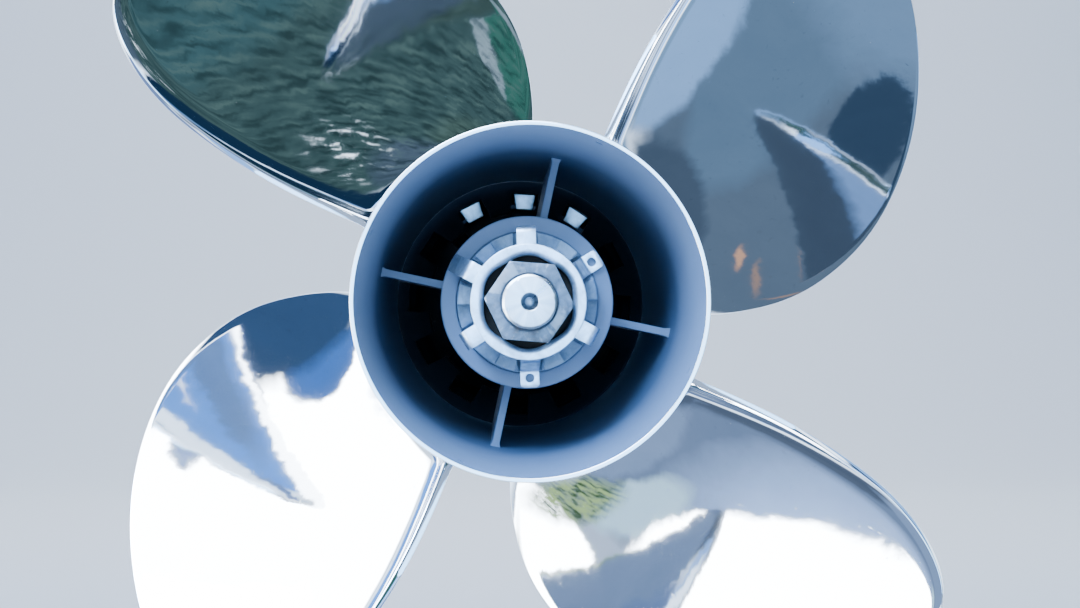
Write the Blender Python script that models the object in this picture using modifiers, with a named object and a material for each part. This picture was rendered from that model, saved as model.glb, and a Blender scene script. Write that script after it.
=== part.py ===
"""A four-blade propeller with exhaust through its hub, on its shaft, in the bearing carrier that holds the shaft.

The shaft line is the Y axis. Aft is -Y, up is +Z, and the origin is where the shaft line meets the carrier's
forward face. Every piece is modelled as it is seen from aft: x to the right, y up, and z towards the viewer,
with z = 0 in the plane of the barrel's aft rim. A depth is a distance forward from that plane.
"""

from math import atan2, cos, hypot, pi, radians, sin, sqrt, tan

import bmesh
import bpy
from mathutils import Matrix, Vector

# Clearances and roundness
GAP = 0.0003
RUNNING_GAP = 0.0003
ROUND_STEPS = 48
FINE_STEPS = 32
MERGE_DISTANCE = 0.00001
SHARP_ANGLE = radians(35)

# Barrel of the propeller, the outer tube that the exhaust leaves through
BARREL_LENGTH = 0.140
BARREL_RADIUS = 0.0574
BARREL_TAPER = 0.0018
FLARE_RISE = 0.00365
FLARE_LENGTH = 0.040
RIM_LAND = 0.0017
BARREL_WALL_AT_FLARE = 0.0030
BARREL_WALL_AT_FRONT = 0.0060
FLARE_STATIONS = (0, 0.3, 0.65, 1)
TUBE_STATIONS = (0.25, 0.6, 1)

# Inner hub and the ribs that carry it in the barrel
HUB_DEPTH = 0.042
HUB_SETBACK = 0.015
HUB_BORE = 0.0253
HUB_WALL = 0.0056
HUB_TAPER = 0.0009
HUB_STEP_BORE = 0.0210
HUB_STEP_LENGTH = 0.010
RIB_COUNT = 4
RIB_ANGLE = radians(78)
RIB_THICKNESS = 0.0026
RIB_DEPTH = 0.058
RIB_SEAT = 0.0012

# Blades
BLADE_COUNT = 4
TIP_RADIUS = 0.1770
PITCH = 0.4826
RAKE = radians(22.5)
TE_ANGLE = radians(63.9)
TE_ROOT_DEPTH = 0.0345
MID_ANGLES = (34.0, 32.5, 29.5, 23.9, 15.5)
SPAN_ANGLES = (68.0, 77.6, 83.2, 83.1, 72.4)
TE_ROOT_THICKNESS = 0.0042
TE_TIP_THICKNESS = 0.0030
LE_THICKNESS = 0.0012
ROOT_THICKNESS = 0.0105
TIP_THICKNESS = 0.0036
THIN_FROM_SHARE = 0.625
THINNING_CURVE = 0.8
CUP_WIDTH = 0.0090
CUP_DROP = 0.0024
ROOT_FILLET = 0.0100
FILLET_SPREAD = 0.0050
ROOT_FOLLOWS = 6
SPAN_STATIONS = 13
TIP_SHARES = [0.9985, 0.9999]
CHORD_STATIONS = 12
CHORD_CROWDING = 1.4

# Shaft
THREAD_RADIUS = 0.00945
SHAFT_END_DEPTH = 0.008
SHAFT_CHAMFER = 0.0014
CENTRE_HOLE_RADIUS = 0.00315
CENTRE_HOLE_DEPTH = 0.0050
THREAD_LENGTH = 0.038
SPLINE_RADIUS = 0.0127
TAPER_LENGTH = 0.017
JOURNAL_RADIUS = 0.0159
SHAFT_STUB = 0.030

# Locknut and tab washer
NUT_ACROSS_FLATS = 0.027
NUT_DEPTH = 0.014
NUT_THICKNESS = 0.0170
NUT_CHAMFER = 0.0011
NUT_CHAMFER_WIDTH = 0.0019
NUT_ANGLE = radians(55.5)
WASHER_SHEET = 0.0018
WASHER_RIM_DEPTH = 0.0240
WASHER_RADIUS = 0.0205
TAB_WIDTH = 0.0067
TAB_COUNT = 3
LONG_TAB_ANGLE = radians(32)
SHORT_TAB_ANGLE = radians(92)
LONG_TAB_RADIUS = 0.0306
SHORT_TAB_RADIUS = 0.0270
SHORT_TAB_DROP = 0.0022
TAB_HOLE_RADIUS = 0.0017

# Drive sleeve, its splined core and the thrust hub ahead of it
CORE_RADIUS = 0.0162
CORE_SETBACK = 0.0030
SLEEVE_TEETH = 6
SLEEVE_SLOT_WIDTH = 0.0088
SLEEVE_SLOT_RADIUS = 0.0196
THRUST_HUB_LENGTH = 0.0170
THRUST_HUB_LAND = 0.0057
THRUST_HUB_RADIUS = 0.0245
THRUST_HUB_FRONT_RADIUS = 0.0205

# Bearing carrier, the ring nut that keeps it in place and what seals it
BARREL_CLEARANCE = 0.006
RING_NUT_THICKNESS = 0.012
RING_NUT_THREAD = 0.0023
RING_NUT_WIDTH = 0.0117
RING_NUT_RIM = 0.0025
RING_NUT_SLOTS = 12
RING_NUT_SLOT_WIDTH = 0.0112
RING_NUT_ANGLE = radians(57)
LOCK_SHEET = 0.0015
LOCK_LUGS = (radians(117), radians(87), radians(57))
LOCK_LUG_WIDTH = 0.0100
CARRIER_LENGTH = 0.075
CARRIER_RADIUS = 0.0465
CARRIER_SHOULDER = 0.0020
CARRIER_SHOULDER_LENGTH = 0.010
CARRIER_WALL = 0.0040
CARRIER_END_WALL = 0.010
CARRIER_TUBE_WALL = 0.0040
CARRIER_TUBE_REACH = 0.0085
BEARING_WALL = 0.0061
SPOKE_COUNT = 4
SPOKE_THICKNESS = 0.006
SPOKE_LENGTH = 0.020
SPOKE_ANGLE = radians(42)
INLET_ANGLES = (radians(126), radians(90), radians(54))
INLET_WIDTH = 0.016
INLET_LENGTH = 0.030
INLET_SETBACK = 0.014
O_RING_WIDTH = 0.0036
O_RING_GROOVE = 0.0027
O_RING_PROUD = 0.0004
O_RING_SETBACK = 0.018
SEAL_LENGTH = 0.0075
NEEDLE_BEARING_LENGTH = 0.028
BALL_BEARING_LENGTH = 0.014

# Depths and radii that follow from the sizes above
HUB_END_DEPTH = BARREL_LENGTH - HUB_SETBACK
HUB_RADIUS = HUB_BORE + HUB_WALL
HUB_FRONT_RADIUS = HUB_RADIUS - HUB_TAPER
TAPER_DEPTH = HUB_END_DEPTH + GAP
RING_NUT_DEPTH = BARREL_LENGTH + BARREL_CLEARANCE
LOCK_DEPTH = RING_NUT_DEPTH + RING_NUT_THICKNESS + GAP
CARRIER_DEPTH = LOCK_DEPTH + LOCK_SHEET + GAP
FLANGE_DEPTH = CARRIER_DEPTH + CARRIER_LENGTH
SHOULDER_RADIUS = CARRIER_RADIUS + CARRIER_SHOULDER
RING_NUT_RADIUS = SHOULDER_RADIUS + RING_NUT_THREAD
RING_NUT_BORE = SHOULDER_RADIUS - RING_NUT_WIDTH
RING_NUT_SLOT_RADIUS = SHOULDER_RADIUS - RING_NUT_RIM
BEARING_SEAT_RADIUS = JOURNAL_RADIUS + BEARING_WALL
CARRIER_TUBE_RADIUS = BEARING_SEAT_RADIUS + CARRIER_TUBE_WALL
WASHER_SEAT_DEPTH = NUT_DEPTH + NUT_THICKNESS + GAP
SLEEVE_DEPTH = WASHER_SEAT_DEPTH + WASHER_SHEET + GAP
SLEEVE_END_DEPTH = HUB_END_DEPTH - HUB_STEP_LENGTH - GAP
NUT_CORNER_RADIUS = NUT_ACROSS_FLATS / 2 / cos(pi / 6)
SLEEVE_RADIUS = HUB_BORE - 2 * GAP
SHAFT_BORE = JOURNAL_RADIUS + RUNNING_GAP + JOURNAL_RADIUS * (1 - cos(pi / ROUND_STEPS))


def clear_scene():
    for thing in list(bpy.data.objects):
        bpy.data.objects.remove(thing)


def collection(name, hidden=False):
    group = bpy.data.collections.new(name)
    group.hide_render = hidden
    bpy.context.scene.collection.children.link(group)
    return group


def material(name, colour, roughness, metallic):
    made = bpy.data.materials.new(name)
    made.use_nodes = True
    shader = made.node_tree.nodes["Principled BSDF"]
    shader.inputs["Base Color"].default_value = (*colour, 1)
    shader.inputs["Roughness"].default_value = roughness
    shader.inputs["Metallic"].default_value = metallic
    return made


clear_scene()
PARTS = collection("propeller")
CUTTERS = collection("cutters", hidden=True)

POLISHED_STEEL = material("polished stainless steel", (0.60, 0.62, 0.65), 0.12, 1.0)
SHAFT_STEEL = material("turned steel", (0.55, 0.56, 0.57), 0.3, 1.0)
NUT_STEEL = material("dull steel", (0.32, 0.32, 0.32), 0.5, 1.0)
ZINC = material("zinc-plated sheet", (0.72, 0.75, 0.80), 0.3, 1.0)
COMPOSITE = material("grey composite", (0.28, 0.29, 0.29), 0.7, 0.0)
BRONZE = material("bronze", (0.45, 0.32, 0.16), 0.35, 1.0)
CAST_PAINT = material("dark painted casting", (0.03, 0.032, 0.036), 0.55, 0.0)
RUBBER = material("black rubber", (0.02, 0.02, 0.02), 0.8, 0.0)
BEARING_STEEL = material("bearing steel", (0.4, 0.4, 0.42), 0.35, 1.0)


def frame(name, parent=None):
    """An empty whose z axis is the shaft line towards aft, with its origin in the plane of the rim."""
    made = bpy.data.objects.new(name, None)
    PARTS.objects.link(made)
    if parent is None:
        made.location = (0, -FLANGE_DEPTH, 0)
        made.rotation_euler = (radians(90), 0, 0)
    made.parent = parent
    return made


CARRIER = frame("carrier_frame")
ROTOR = frame("rotor_frame", CARRIER)


def add(name, mesh, look=None, parent=None, cutter=False):
    made = bpy.data.objects.new(name, mesh)
    (CUTTERS if cutter else PARTS).objects.link(made)
    made.parent = parent or ROTOR
    if look and not mesh.materials:
        mesh.materials.append(look)
    if cutter:
        made.hide_render = True
        made.display_type = "WIRE"
    return made


def shade(mesh):
    mesh.shade_smooth()
    mesh.set_sharp_from_angle(angle=SHARP_ANGLE)


def turned(name, outline, look=None, parent=None, cutter=False, steps=ROUND_STEPS):
    """A piece turned about the shaft line from (radius, depth) points: forward along its outside, then back inside."""
    mesh = bpy.data.meshes.new(name)
    points = [(radius, 0, -depth) for radius, depth in outline]
    edges = [(i, i + 1) for i in range(len(points) - 1)]
    if outline[0][0] > 0:
        edges.append((len(points) - 1, 0))
    mesh.from_pydata(points, edges, [])
    made = add(name, mesh, look, parent, cutter)
    screw = made.modifiers.new("turn", "SCREW")
    screw.axis = "Z"
    screw.steps = steps
    screw.render_steps = steps
    screw.use_merge_vertices = True
    screw.merge_threshold = MERGE_DISTANCE
    screw.use_smooth_shade = True
    return made


def block(name, size, place, angle, parent=None):
    """A helper box of size (radial, across, along the shaft) with its centre at (radius, depth), at an angle."""
    made_of = bmesh.new()
    bmesh.ops.create_cube(made_of, size=1, matrix=Matrix.Diagonal((*size, 1)))
    mesh = bpy.data.meshes.new(name)
    made_of.to_mesh(mesh)
    made_of.free()
    made = add(name, mesh, parent=parent, cutter=True)
    radius, depth = place
    made.location = (radius * cos(angle), radius * sin(angle), -depth)
    made.rotation_euler = (0, 0, angle)
    return made


def rod(name, radius, length, place, angle=0.0, sides=FINE_STEPS, turn=0.0):
    """A helper cylinder along the shaft direction with its centre at (radius, depth), at an angle.

    Its first corner lies at a quarter turn from X, and turn is added to that.
    """
    made_of = bmesh.new()
    bmesh.ops.create_cone(
        made_of, segments=sides, radius1=radius, radius2=radius, depth=length, cap_ends=True
    )
    mesh = bpy.data.meshes.new(name)
    made_of.to_mesh(mesh)
    made_of.free()
    made = add(name, mesh, cutter=True)
    distance, depth = place
    made.location = (distance * cos(angle), distance * sin(angle), -depth)
    made.rotation_euler = (0, 0, turn)
    return made


def strip(name, path, sheet, width, angle):
    """A bent strip of sheet: its path in (radius, depth) along the aft face, its width across."""
    aft = [Vector((radius, -depth)) for radius, depth in path]
    directions = [(after - before).normalized() for before, after in zip(aft, aft[1:])]
    fore = []
    for i, point in enumerate(aft):
        first = directions[max(i - 1, 0)]
        second = directions[min(i, len(directions) - 1)]
        middle = (first + second).normalized()
        normal = Vector((middle.y, -middle.x))
        fore.append(point + normal * sheet / middle.dot(first))
    made_of = bmesh.new()
    near = [made_of.verts.new((p.x, -width / 2, p.y)) for p in aft + fore[::-1]]
    far = [made_of.verts.new((p.x, width / 2, p.y)) for p in aft + fore[::-1]]
    count = len(near)
    made_of.faces.new(near)
    made_of.faces.new(far[::-1])
    for i in range(count):
        made_of.faces.new((near[i], far[i], far[(i + 1) % count], near[(i + 1) % count]))
    bmesh.ops.recalc_face_normals(made_of, faces=made_of.faces)
    mesh = bpy.data.meshes.new(name)
    made_of.to_mesh(mesh)
    made_of.free()
    made = add(name, mesh, cutter=True)
    made.rotation_euler = (0, 0, angle)
    return made


def combine(target, others, operation):
    for other in others:
        made = target.modifiers.new(f"{operation.lower()} {other.name}", "BOOLEAN")
        made.operation = operation
        made.solver = "EXACT"
        made.object = other


def around(count, start=0.0):
    return [start + 2 * pi * i / count for i in range(count)]


def smooth_value(values, share):
    """A smooth curve through evenly spaced values, at a share from 0 to 1 of its length."""
    place = min(max(share, 0.0), 1.0) * (len(values) - 1)
    i = min(int(place), len(values) - 2)
    x = place - i
    before = values[i - 1] if i > 0 else 2 * values[i] - values[i + 1]
    after = values[i + 2] if i + 2 < len(values) else 2 * values[i + 1] - values[i]
    start_slope = (values[i + 1] - before) / 2
    end_slope = (after - values[i]) / 2
    return (
        (2 * x**3 - 3 * x**2 + 1) * values[i]
        + (x**3 - 2 * x**2 + x) * start_slope
        + (3 * x**2 - 2 * x**3) * values[i + 1]
        + (x**3 - x**2) * end_slope
    )


def barrel_outside(depth):
    """The barrel's outer radius: nearly straight, and flared towards the rim."""
    if depth < FLARE_LENGTH:
        share = 1 - depth / FLARE_LENGTH
        return BARREL_RADIUS + FLARE_RISE * share**2
    share = (depth - FLARE_LENGTH) / (BARREL_LENGTH - FLARE_LENGTH)
    return BARREL_RADIUS - BARREL_TAPER * share**2


def barrel_wall(depth):
    if depth < FLARE_LENGTH:
        return RIM_LAND + (BARREL_WALL_AT_FLARE - RIM_LAND) * depth / FLARE_LENGTH
    share = (depth - FLARE_LENGTH) / (BARREL_LENGTH - FLARE_LENGTH)
    return BARREL_WALL_AT_FLARE + (BARREL_WALL_AT_FRONT - BARREL_WALL_AT_FLARE) * share


def barrel_inside(depth):
    return barrel_outside(depth) - barrel_wall(depth)


def blade_section(share):
    """The blade at a share of its span: trailing-edge angle, angle that it spans, and its two thicknesses."""
    spans = radians(smooth_value(SPAN_ANGLES, share)) * sqrt(max(1 - share, 0.0))
    start = radians(smooth_value(MID_ANGLES, share)) - spans / 2
    thinned = min(share / THIN_FROM_SHARE, 1) ** THINNING_CURVE
    thickness = ROOT_THICKNESS + (TIP_THICKNESS - ROOT_THICKNESS) * thinned
    edge = TE_ROOT_THICKNESS + (TE_TIP_THICKNESS - TE_ROOT_THICKNESS) * share
    return start, spans, thickness, edge


def blade_points(share, along):
    """The points of the pressure and suction faces at a share of the span and of the chord, from the trailing edge."""
    start, spans, thickness, edge = blade_section(share)
    turn = start + spans * along
    height = (TIP_RADIUS - BARREL_RADIUS) * share
    depth = TE_ROOT_DEPTH + PITCH * turn / (2 * pi) - height * tan(RAKE)
    radius = BARREL_RADIUS + height
    radius += (barrel_outside(depth) - BARREL_RADIUS) * max(1 - share * ROOT_FOLLOWS, 0.0)
    slope = atan2(PITCH, 2 * pi * radius)
    from_edge = along * spans * radius / cos(slope)
    cup = CUP_DROP * max(1 - from_edge / CUP_WIDTH, 0.0) ** 2
    edge += (LE_THICKNESS - edge) * along
    middle = max(thickness - edge, 0.0) * 4 * along * (1 - along)
    fillet = FILLET_SPREAD * max(1 - height / ROOT_FILLET, 0.0) ** 2
    points = []
    for offset in (-cup - fillet, edge + middle - cup + fillet):
        angle = TE_ANGLE - turn + sin(slope) * offset / radius
        forward = depth + cos(slope) * offset
        points.append((radius * cos(angle), radius * sin(angle), -forward))
    return points


def seated(point):
    """A point of the blade's root moved along its radius to the middle of the barrel's wall."""
    x, y, z = point
    radius = barrel_outside(-z) - barrel_wall(-z) / 2
    scale = radius / hypot(x, y)
    return (x * scale, y * scale, z)


def blade_mesh():
    """The loft of the blade's sections, from the middle of the barrel's wall to the tip."""
    made_of = bmesh.new()
    shares = [sin(pi / 2 * i / SPAN_STATIONS) for i in range(SPAN_STATIONS)]
    shares += TIP_SHARES
    chord = [(i / CHORD_STATIONS) ** CHORD_CROWDING for i in range(CHORD_STATIONS + 1)]
    rings = []
    for i, share in enumerate([0.0, *shares]):
        pairs = [blade_points(share, along) for along in chord]
        if i == 0:
            pairs = [[seated(point) for point in pair] for pair in pairs]
        pressure = [made_of.verts.new(pair[0]) for pair in pairs]
        suction = [made_of.verts.new(pair[1]) for pair in pairs]
        rings.append((pressure, suction))
    for (low_p, low_s), (high_p, high_s) in zip(rings, rings[1:]):
        for j in range(CHORD_STATIONS):
            made_of.faces.new((low_p[j], low_p[j + 1], high_p[j + 1], high_p[j]))
            made_of.faces.new((low_s[j + 1], low_s[j], high_s[j], high_s[j + 1]))
        made_of.faces.new((low_s[0], low_p[0], high_p[0], high_s[0]))
        made_of.faces.new((low_p[-1], low_s[-1], high_s[-1], high_p[-1]))
    for pressure, suction in (rings[0], rings[-1]):
        for j in range(CHORD_STATIONS):
            made_of.faces.new((pressure[j], suction[j], suction[j + 1], pressure[j + 1]))
    bmesh.ops.recalc_face_normals(made_of, faces=made_of.faces)
    mesh = bpy.data.meshes.new("blade")
    made_of.to_mesh(mesh)
    made_of.free()
    shade(mesh)
    return mesh


def propeller_casting():
    depths = [FLARE_LENGTH * share for share in FLARE_STATIONS]
    depths += [FLARE_LENGTH + (BARREL_LENGTH - FLARE_LENGTH) * share for share in TUBE_STATIONS]
    outside = [(barrel_outside(depth), depth) for depth in depths]
    inside = [(barrel_inside(depth), depth) for depth in reversed(depths)]
    barrel = turned("propeller_casting", outside + inside, POLISHED_STEEL)
    hub = turned(
        "inner_hub",
        [
            (HUB_RADIUS, HUB_DEPTH),
            (HUB_FRONT_RADIUS, HUB_END_DEPTH),
            (HUB_STEP_BORE, HUB_END_DEPTH),
            (HUB_STEP_BORE, HUB_END_DEPTH - HUB_STEP_LENGTH),
            (HUB_BORE, HUB_END_DEPTH - HUB_STEP_LENGTH),
            (HUB_BORE, HUB_DEPTH),
        ],
        cutter=True,
    )
    inner = (HUB_BORE + HUB_FRONT_RADIUS) / 2
    outer = barrel_inside(RIB_DEPTH) + RIB_SEAT
    length = HUB_END_DEPTH - RIB_DEPTH
    ribs = [
        block(
            f"rib_{i}",
            (outer - inner, RIB_THICKNESS, length),
            ((inner + outer) / 2, RIB_DEPTH + length / 2),
            angle,
        )
        for i, angle in enumerate(around(RIB_COUNT, RIB_ANGLE), 1)
    ]
    mesh = blade_mesh()
    blades = []
    for i, angle in enumerate(around(BLADE_COUNT), 1):
        blade = add(f"blade_{i}", mesh, cutter=True)
        blade.rotation_euler = (0, 0, angle)
        blades.append(blade)
    combine(barrel, [*ribs, hub, *blades], "UNION")


def shaft():
    thread_end = SHAFT_END_DEPTH + THREAD_LENGTH
    hole_end = SHAFT_END_DEPTH + CENTRE_HOLE_DEPTH
    turned(
        "propeller_shaft",
        [
            (0, hole_end),
            (CENTRE_HOLE_RADIUS, SHAFT_END_DEPTH),
            (THREAD_RADIUS - SHAFT_CHAMFER, SHAFT_END_DEPTH),
            (THREAD_RADIUS, SHAFT_END_DEPTH + SHAFT_CHAMFER),
            (THREAD_RADIUS, thread_end),
            (SPLINE_RADIUS, thread_end),
            (SPLINE_RADIUS, TAPER_DEPTH),
            (JOURNAL_RADIUS, TAPER_DEPTH + TAPER_LENGTH),
            (JOURNAL_RADIUS, FLANGE_DEPTH + SHAFT_STUB - SHAFT_CHAMFER),
            (JOURNAL_RADIUS - SHAFT_CHAMFER, FLANGE_DEPTH + SHAFT_STUB),
            (0, FLANGE_DEPTH + SHAFT_STUB),
        ],
        SHAFT_STEEL,
    )


def locknut():
    bore = THREAD_RADIUS + GAP
    end = NUT_DEPTH + NUT_THICKNESS
    nut = turned(
        "locknut",
        [
            (NUT_CORNER_RADIUS - NUT_CHAMFER_WIDTH, NUT_DEPTH),
            (NUT_CORNER_RADIUS + GAP, NUT_DEPTH + NUT_CHAMFER),
            (NUT_CORNER_RADIUS + GAP, end - NUT_CHAMFER / 2),
            (NUT_CORNER_RADIUS - NUT_CHAMFER, end),
            (bore, end),
            (bore, NUT_DEPTH),
        ],
        NUT_STEEL,
    )
    middle = NUT_DEPTH + NUT_THICKNESS / 2
    turn = NUT_ANGLE - pi / 2
    hexagon = rod("nut_hexagon", NUT_CORNER_RADIUS, NUT_THICKNESS * 2, (0, middle), sides=6, turn=turn)
    combine(nut, [hexagon], "INTERSECT")


def tab_washer():
    bore = THREAD_RADIUS + GAP
    well = NUT_CORNER_RADIUS + 2 * GAP
    seat = WASHER_SEAT_DEPTH
    washer = turned(
        "tab_washer",
        [
            (WASHER_RADIUS, WASHER_RIM_DEPTH),
            (WASHER_RADIUS, WASHER_RIM_DEPTH + WASHER_SHEET),
            (well + WASHER_SHEET, WASHER_RIM_DEPTH + WASHER_SHEET),
            (well + WASHER_SHEET, seat + WASHER_SHEET),
            (bore, seat + WASHER_SHEET),
            (bore, seat),
            (well, seat),
            (well, WASHER_RIM_DEPTH),
        ],
        ZINC,
    )
    root = WASHER_RADIUS - WASHER_SHEET
    foot = HUB_DEPTH - WASHER_SHEET - GAP
    hole = LONG_TAB_RADIUS - TAB_WIDTH / 2
    tabs = []
    holes = []
    for angle in around(TAB_COUNT, LONG_TAB_ANGLE):
        path = [(root, WASHER_RIM_DEPTH), (WASHER_RADIUS, WASHER_RIM_DEPTH), (HUB_BORE - WASHER_SHEET, foot)]
        tabs.append(strip("long_tab", [*path, (hole, foot)], WASHER_SHEET, TAB_WIDTH, angle))
        place = (hole, foot + WASHER_SHEET / 2)
        tabs.append(rod("tab_end", TAB_WIDTH / 2, WASHER_SHEET, place, angle))
        holes.append(rod("tab_hole", TAB_HOLE_RADIUS, WASHER_SHEET * 3, place, angle, sides=FINE_STEPS // 2))
    for angle in around(TAB_COUNT, SHORT_TAB_ANGLE):
        path = [
            (root, WASHER_RIM_DEPTH),
            (WASHER_RADIUS, WASHER_RIM_DEPTH),
            (SHORT_TAB_RADIUS, WASHER_RIM_DEPTH + SHORT_TAB_DROP),
        ]
        tabs.append(strip("short_tab", path, WASHER_SHEET, TAB_WIDTH, angle))
    combine(washer, tabs, "UNION")
    combine(washer, holes, "DIFFERENCE")


def drive_sleeve():
    bore = CORE_RADIUS + GAP
    sleeve = turned(
        "drive_sleeve",
        [
            (SLEEVE_RADIUS, SLEEVE_DEPTH),
            (SLEEVE_RADIUS, SLEEVE_END_DEPTH),
            (bore, SLEEVE_END_DEPTH),
            (bore, SLEEVE_DEPTH),
        ],
        COMPOSITE,
    )
    length = HUB_DEPTH + GAP - SLEEVE_DEPTH
    reach = SLEEVE_RADIUS - SLEEVE_SLOT_RADIUS
    slots = [
        block(
            "sleeve_slot",
            (reach * 2, SLEEVE_SLOT_WIDTH, length * 2),
            (SLEEVE_RADIUS, SLEEVE_DEPTH),
            angle,
        )
        for angle in around(SLEEVE_TEETH, LONG_TAB_ANGLE)
    ]
    combine(sleeve, slots, "DIFFERENCE")
    turned(
        "splined_core",
        [
            (CORE_RADIUS, SLEEVE_DEPTH + CORE_SETBACK),
            (CORE_RADIUS, SLEEVE_END_DEPTH),
            (SPLINE_RADIUS + GAP, SLEEVE_END_DEPTH),
            (SPLINE_RADIUS + GAP, SLEEVE_DEPTH + CORE_SETBACK),
        ],
        BRONZE,
    )


def thrust_hub():
    start = HUB_END_DEPTH + GAP
    end = start + THRUST_HUB_LENGTH

    def bore(depth):
        share = min(max((depth - TAPER_DEPTH) / TAPER_LENGTH, 0.0), 1.0)
        return SPLINE_RADIUS + (JOURNAL_RADIUS - SPLINE_RADIUS) * share + GAP

    turned(
        "thrust_hub",
        [
            (THRUST_HUB_RADIUS, start),
            (THRUST_HUB_RADIUS, start + THRUST_HUB_LAND),
            (THRUST_HUB_FRONT_RADIUS, end),
            (bore(end), end),
            (bore(start), start),
        ],
        BRONZE,
    )


def ring_nut():
    end = RING_NUT_DEPTH + RING_NUT_THICKNESS
    nut = turned(
        "ring_nut",
        [
            (RING_NUT_RADIUS, RING_NUT_DEPTH),
            (RING_NUT_RADIUS, end),
            (RING_NUT_BORE, end),
            (RING_NUT_BORE, RING_NUT_DEPTH),
        ],
        CAST_PAINT,
        CARRIER,
    )
    inner = RING_NUT_BORE / 2
    slots = [
        block(
            "ring_nut_slot",
            (RING_NUT_SLOT_RADIUS - inner, RING_NUT_SLOT_WIDTH, RING_NUT_THICKNESS * 2),
            ((RING_NUT_SLOT_RADIUS + inner) / 2, RING_NUT_DEPTH + RING_NUT_THICKNESS / 2),
            angle,
            parent=CARRIER,
        )
        for angle in around(RING_NUT_SLOTS, RING_NUT_ANGLE)
    ]
    combine(nut, slots, "DIFFERENCE")


def lock_ring():
    ring = turned(
        "lock_ring",
        [
            (SHOULDER_RADIUS, LOCK_DEPTH),
            (SHOULDER_RADIUS, LOCK_DEPTH + LOCK_SHEET),
            (RING_NUT_SLOT_RADIUS, LOCK_DEPTH + LOCK_SHEET),
            (RING_NUT_SLOT_RADIUS, LOCK_DEPTH),
        ],
        ZINC,
        CARRIER,
    )
    outer = (RING_NUT_SLOT_RADIUS + SHOULDER_RADIUS) / 2
    inner = RING_NUT_BORE + LOCK_SHEET
    lugs = [
        block(
            "lock_lug",
            (outer - inner, LOCK_LUG_WIDTH, LOCK_SHEET),
            ((outer + inner) / 2, LOCK_DEPTH + LOCK_SHEET / 2),
            angle,
            parent=CARRIER,
        )
        for angle in LOCK_LUGS
    ]
    combine(ring, lugs, "UNION")


def bearing_carrier():
    shoulder_end = CARRIER_DEPTH + CARRIER_SHOULDER_LENGTH
    groove_end = FLANGE_DEPTH - O_RING_SETBACK + O_RING_WIDTH
    groove = CARRIER_RADIUS - O_RING_GROOVE
    inside = CARRIER_RADIUS - CARRIER_WALL
    floor = FLANGE_DEPTH - CARRIER_END_WALL
    tube_start = CARRIER_DEPTH - CARRIER_TUBE_REACH
    carrier = turned(
        "bearing_carrier",
        [
            (SHOULDER_RADIUS, CARRIER_DEPTH),
            (SHOULDER_RADIUS, shoulder_end),
            (CARRIER_RADIUS, shoulder_end),
            (CARRIER_RADIUS, FLANGE_DEPTH - O_RING_SETBACK),
            (groove, FLANGE_DEPTH - O_RING_SETBACK),
            (groove, groove_end),
            (CARRIER_RADIUS, groove_end),
            (CARRIER_RADIUS, FLANGE_DEPTH),
            (SHAFT_BORE, FLANGE_DEPTH),
            (SHAFT_BORE, FLANGE_DEPTH - CARRIER_END_WALL / 2),
            (BEARING_SEAT_RADIUS, FLANGE_DEPTH - CARRIER_END_WALL / 2),
            (BEARING_SEAT_RADIUS, tube_start),
            (CARRIER_TUBE_RADIUS, tube_start),
            (CARRIER_TUBE_RADIUS, floor),
            (inside, floor),
            (inside, CARRIER_DEPTH),
        ],
        CAST_PAINT,
        CARRIER,
    )
    inner = (BEARING_SEAT_RADIUS + CARRIER_TUBE_RADIUS) / 2
    outer = CARRIER_RADIUS - CARRIER_WALL / 2
    spokes = [
        block(
            "spoke",
            (outer - inner, SPOKE_THICKNESS, SPOKE_LENGTH),
            ((inner + outer) / 2, CARRIER_DEPTH + SPOKE_LENGTH / 2),
            angle,
            parent=CARRIER,
        )
        for angle in around(SPOKE_COUNT, SPOKE_ANGLE)
    ]
    combine(carrier, spokes, "UNION")
    inlets = [
        block(
            "exhaust_inlet",
            (CARRIER_WALL * 4, INLET_WIDTH, INLET_LENGTH),
            (CARRIER_RADIUS, shoulder_end + INLET_SETBACK + INLET_LENGTH / 2),
            angle,
            parent=CARRIER,
        )
        for angle in INLET_ANGLES
    ]
    combine(carrier, inlets, "DIFFERENCE")
    start = FLANGE_DEPTH - O_RING_SETBACK + GAP
    turned(
        "carrier_o_ring",
        [
            (CARRIER_RADIUS + O_RING_PROUD, start),
            (CARRIER_RADIUS + O_RING_PROUD, groove_end - GAP),
            (groove + GAP, groove_end - GAP),
            (groove + GAP, start),
        ],
        RUBBER,
        CARRIER,
    )


def bearings_and_seals():
    depth = CARRIER_DEPTH - CARRIER_TUBE_REACH + GAP
    pieces = (
        ("aft_shaft_seal", SEAL_LENGTH, RUBBER),
        ("fore_shaft_seal", SEAL_LENGTH, RUBBER),
        ("needle_bearing", NEEDLE_BEARING_LENGTH, BEARING_STEEL),
        ("ball_bearing", BALL_BEARING_LENGTH, BEARING_STEEL),
    )
    last = FLANGE_DEPTH - CARRIER_END_WALL / 2 - GAP
    outer = BEARING_SEAT_RADIUS - 2 * GAP
    for name, length, look in pieces:
        start = last - length if name == "ball_bearing" else depth
        turned(
            name,
            [
                (outer, start),
                (outer, start + length),
                (SHAFT_BORE, start + length),
                (SHAFT_BORE, start),
            ],
            look,
            CARRIER,
        )
        depth = start + length + GAP


propeller_casting()
shaft()
locknut()
tab_washer()
drive_sleeve()
thrust_hub()
ring_nut()
lock_ring()
bearing_carrier()
bearings_and_seals()
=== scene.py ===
"""A polished four-blade boat propeller on its shaft, in its carrier, with its finishes, light and camera.

The shaft line is the Y axis, aft is -Y and up is +Z. Angles about the shaft line are counted
counter-clockwise as seen from aft, from +X. The sections follow the object as it is put together, from the
carrier to the locknut.
"""

from math import atan2, cos, pi, radians, sin, sqrt, tan

import bmesh
import bpy
from mathutils import Matrix, Vector


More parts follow.
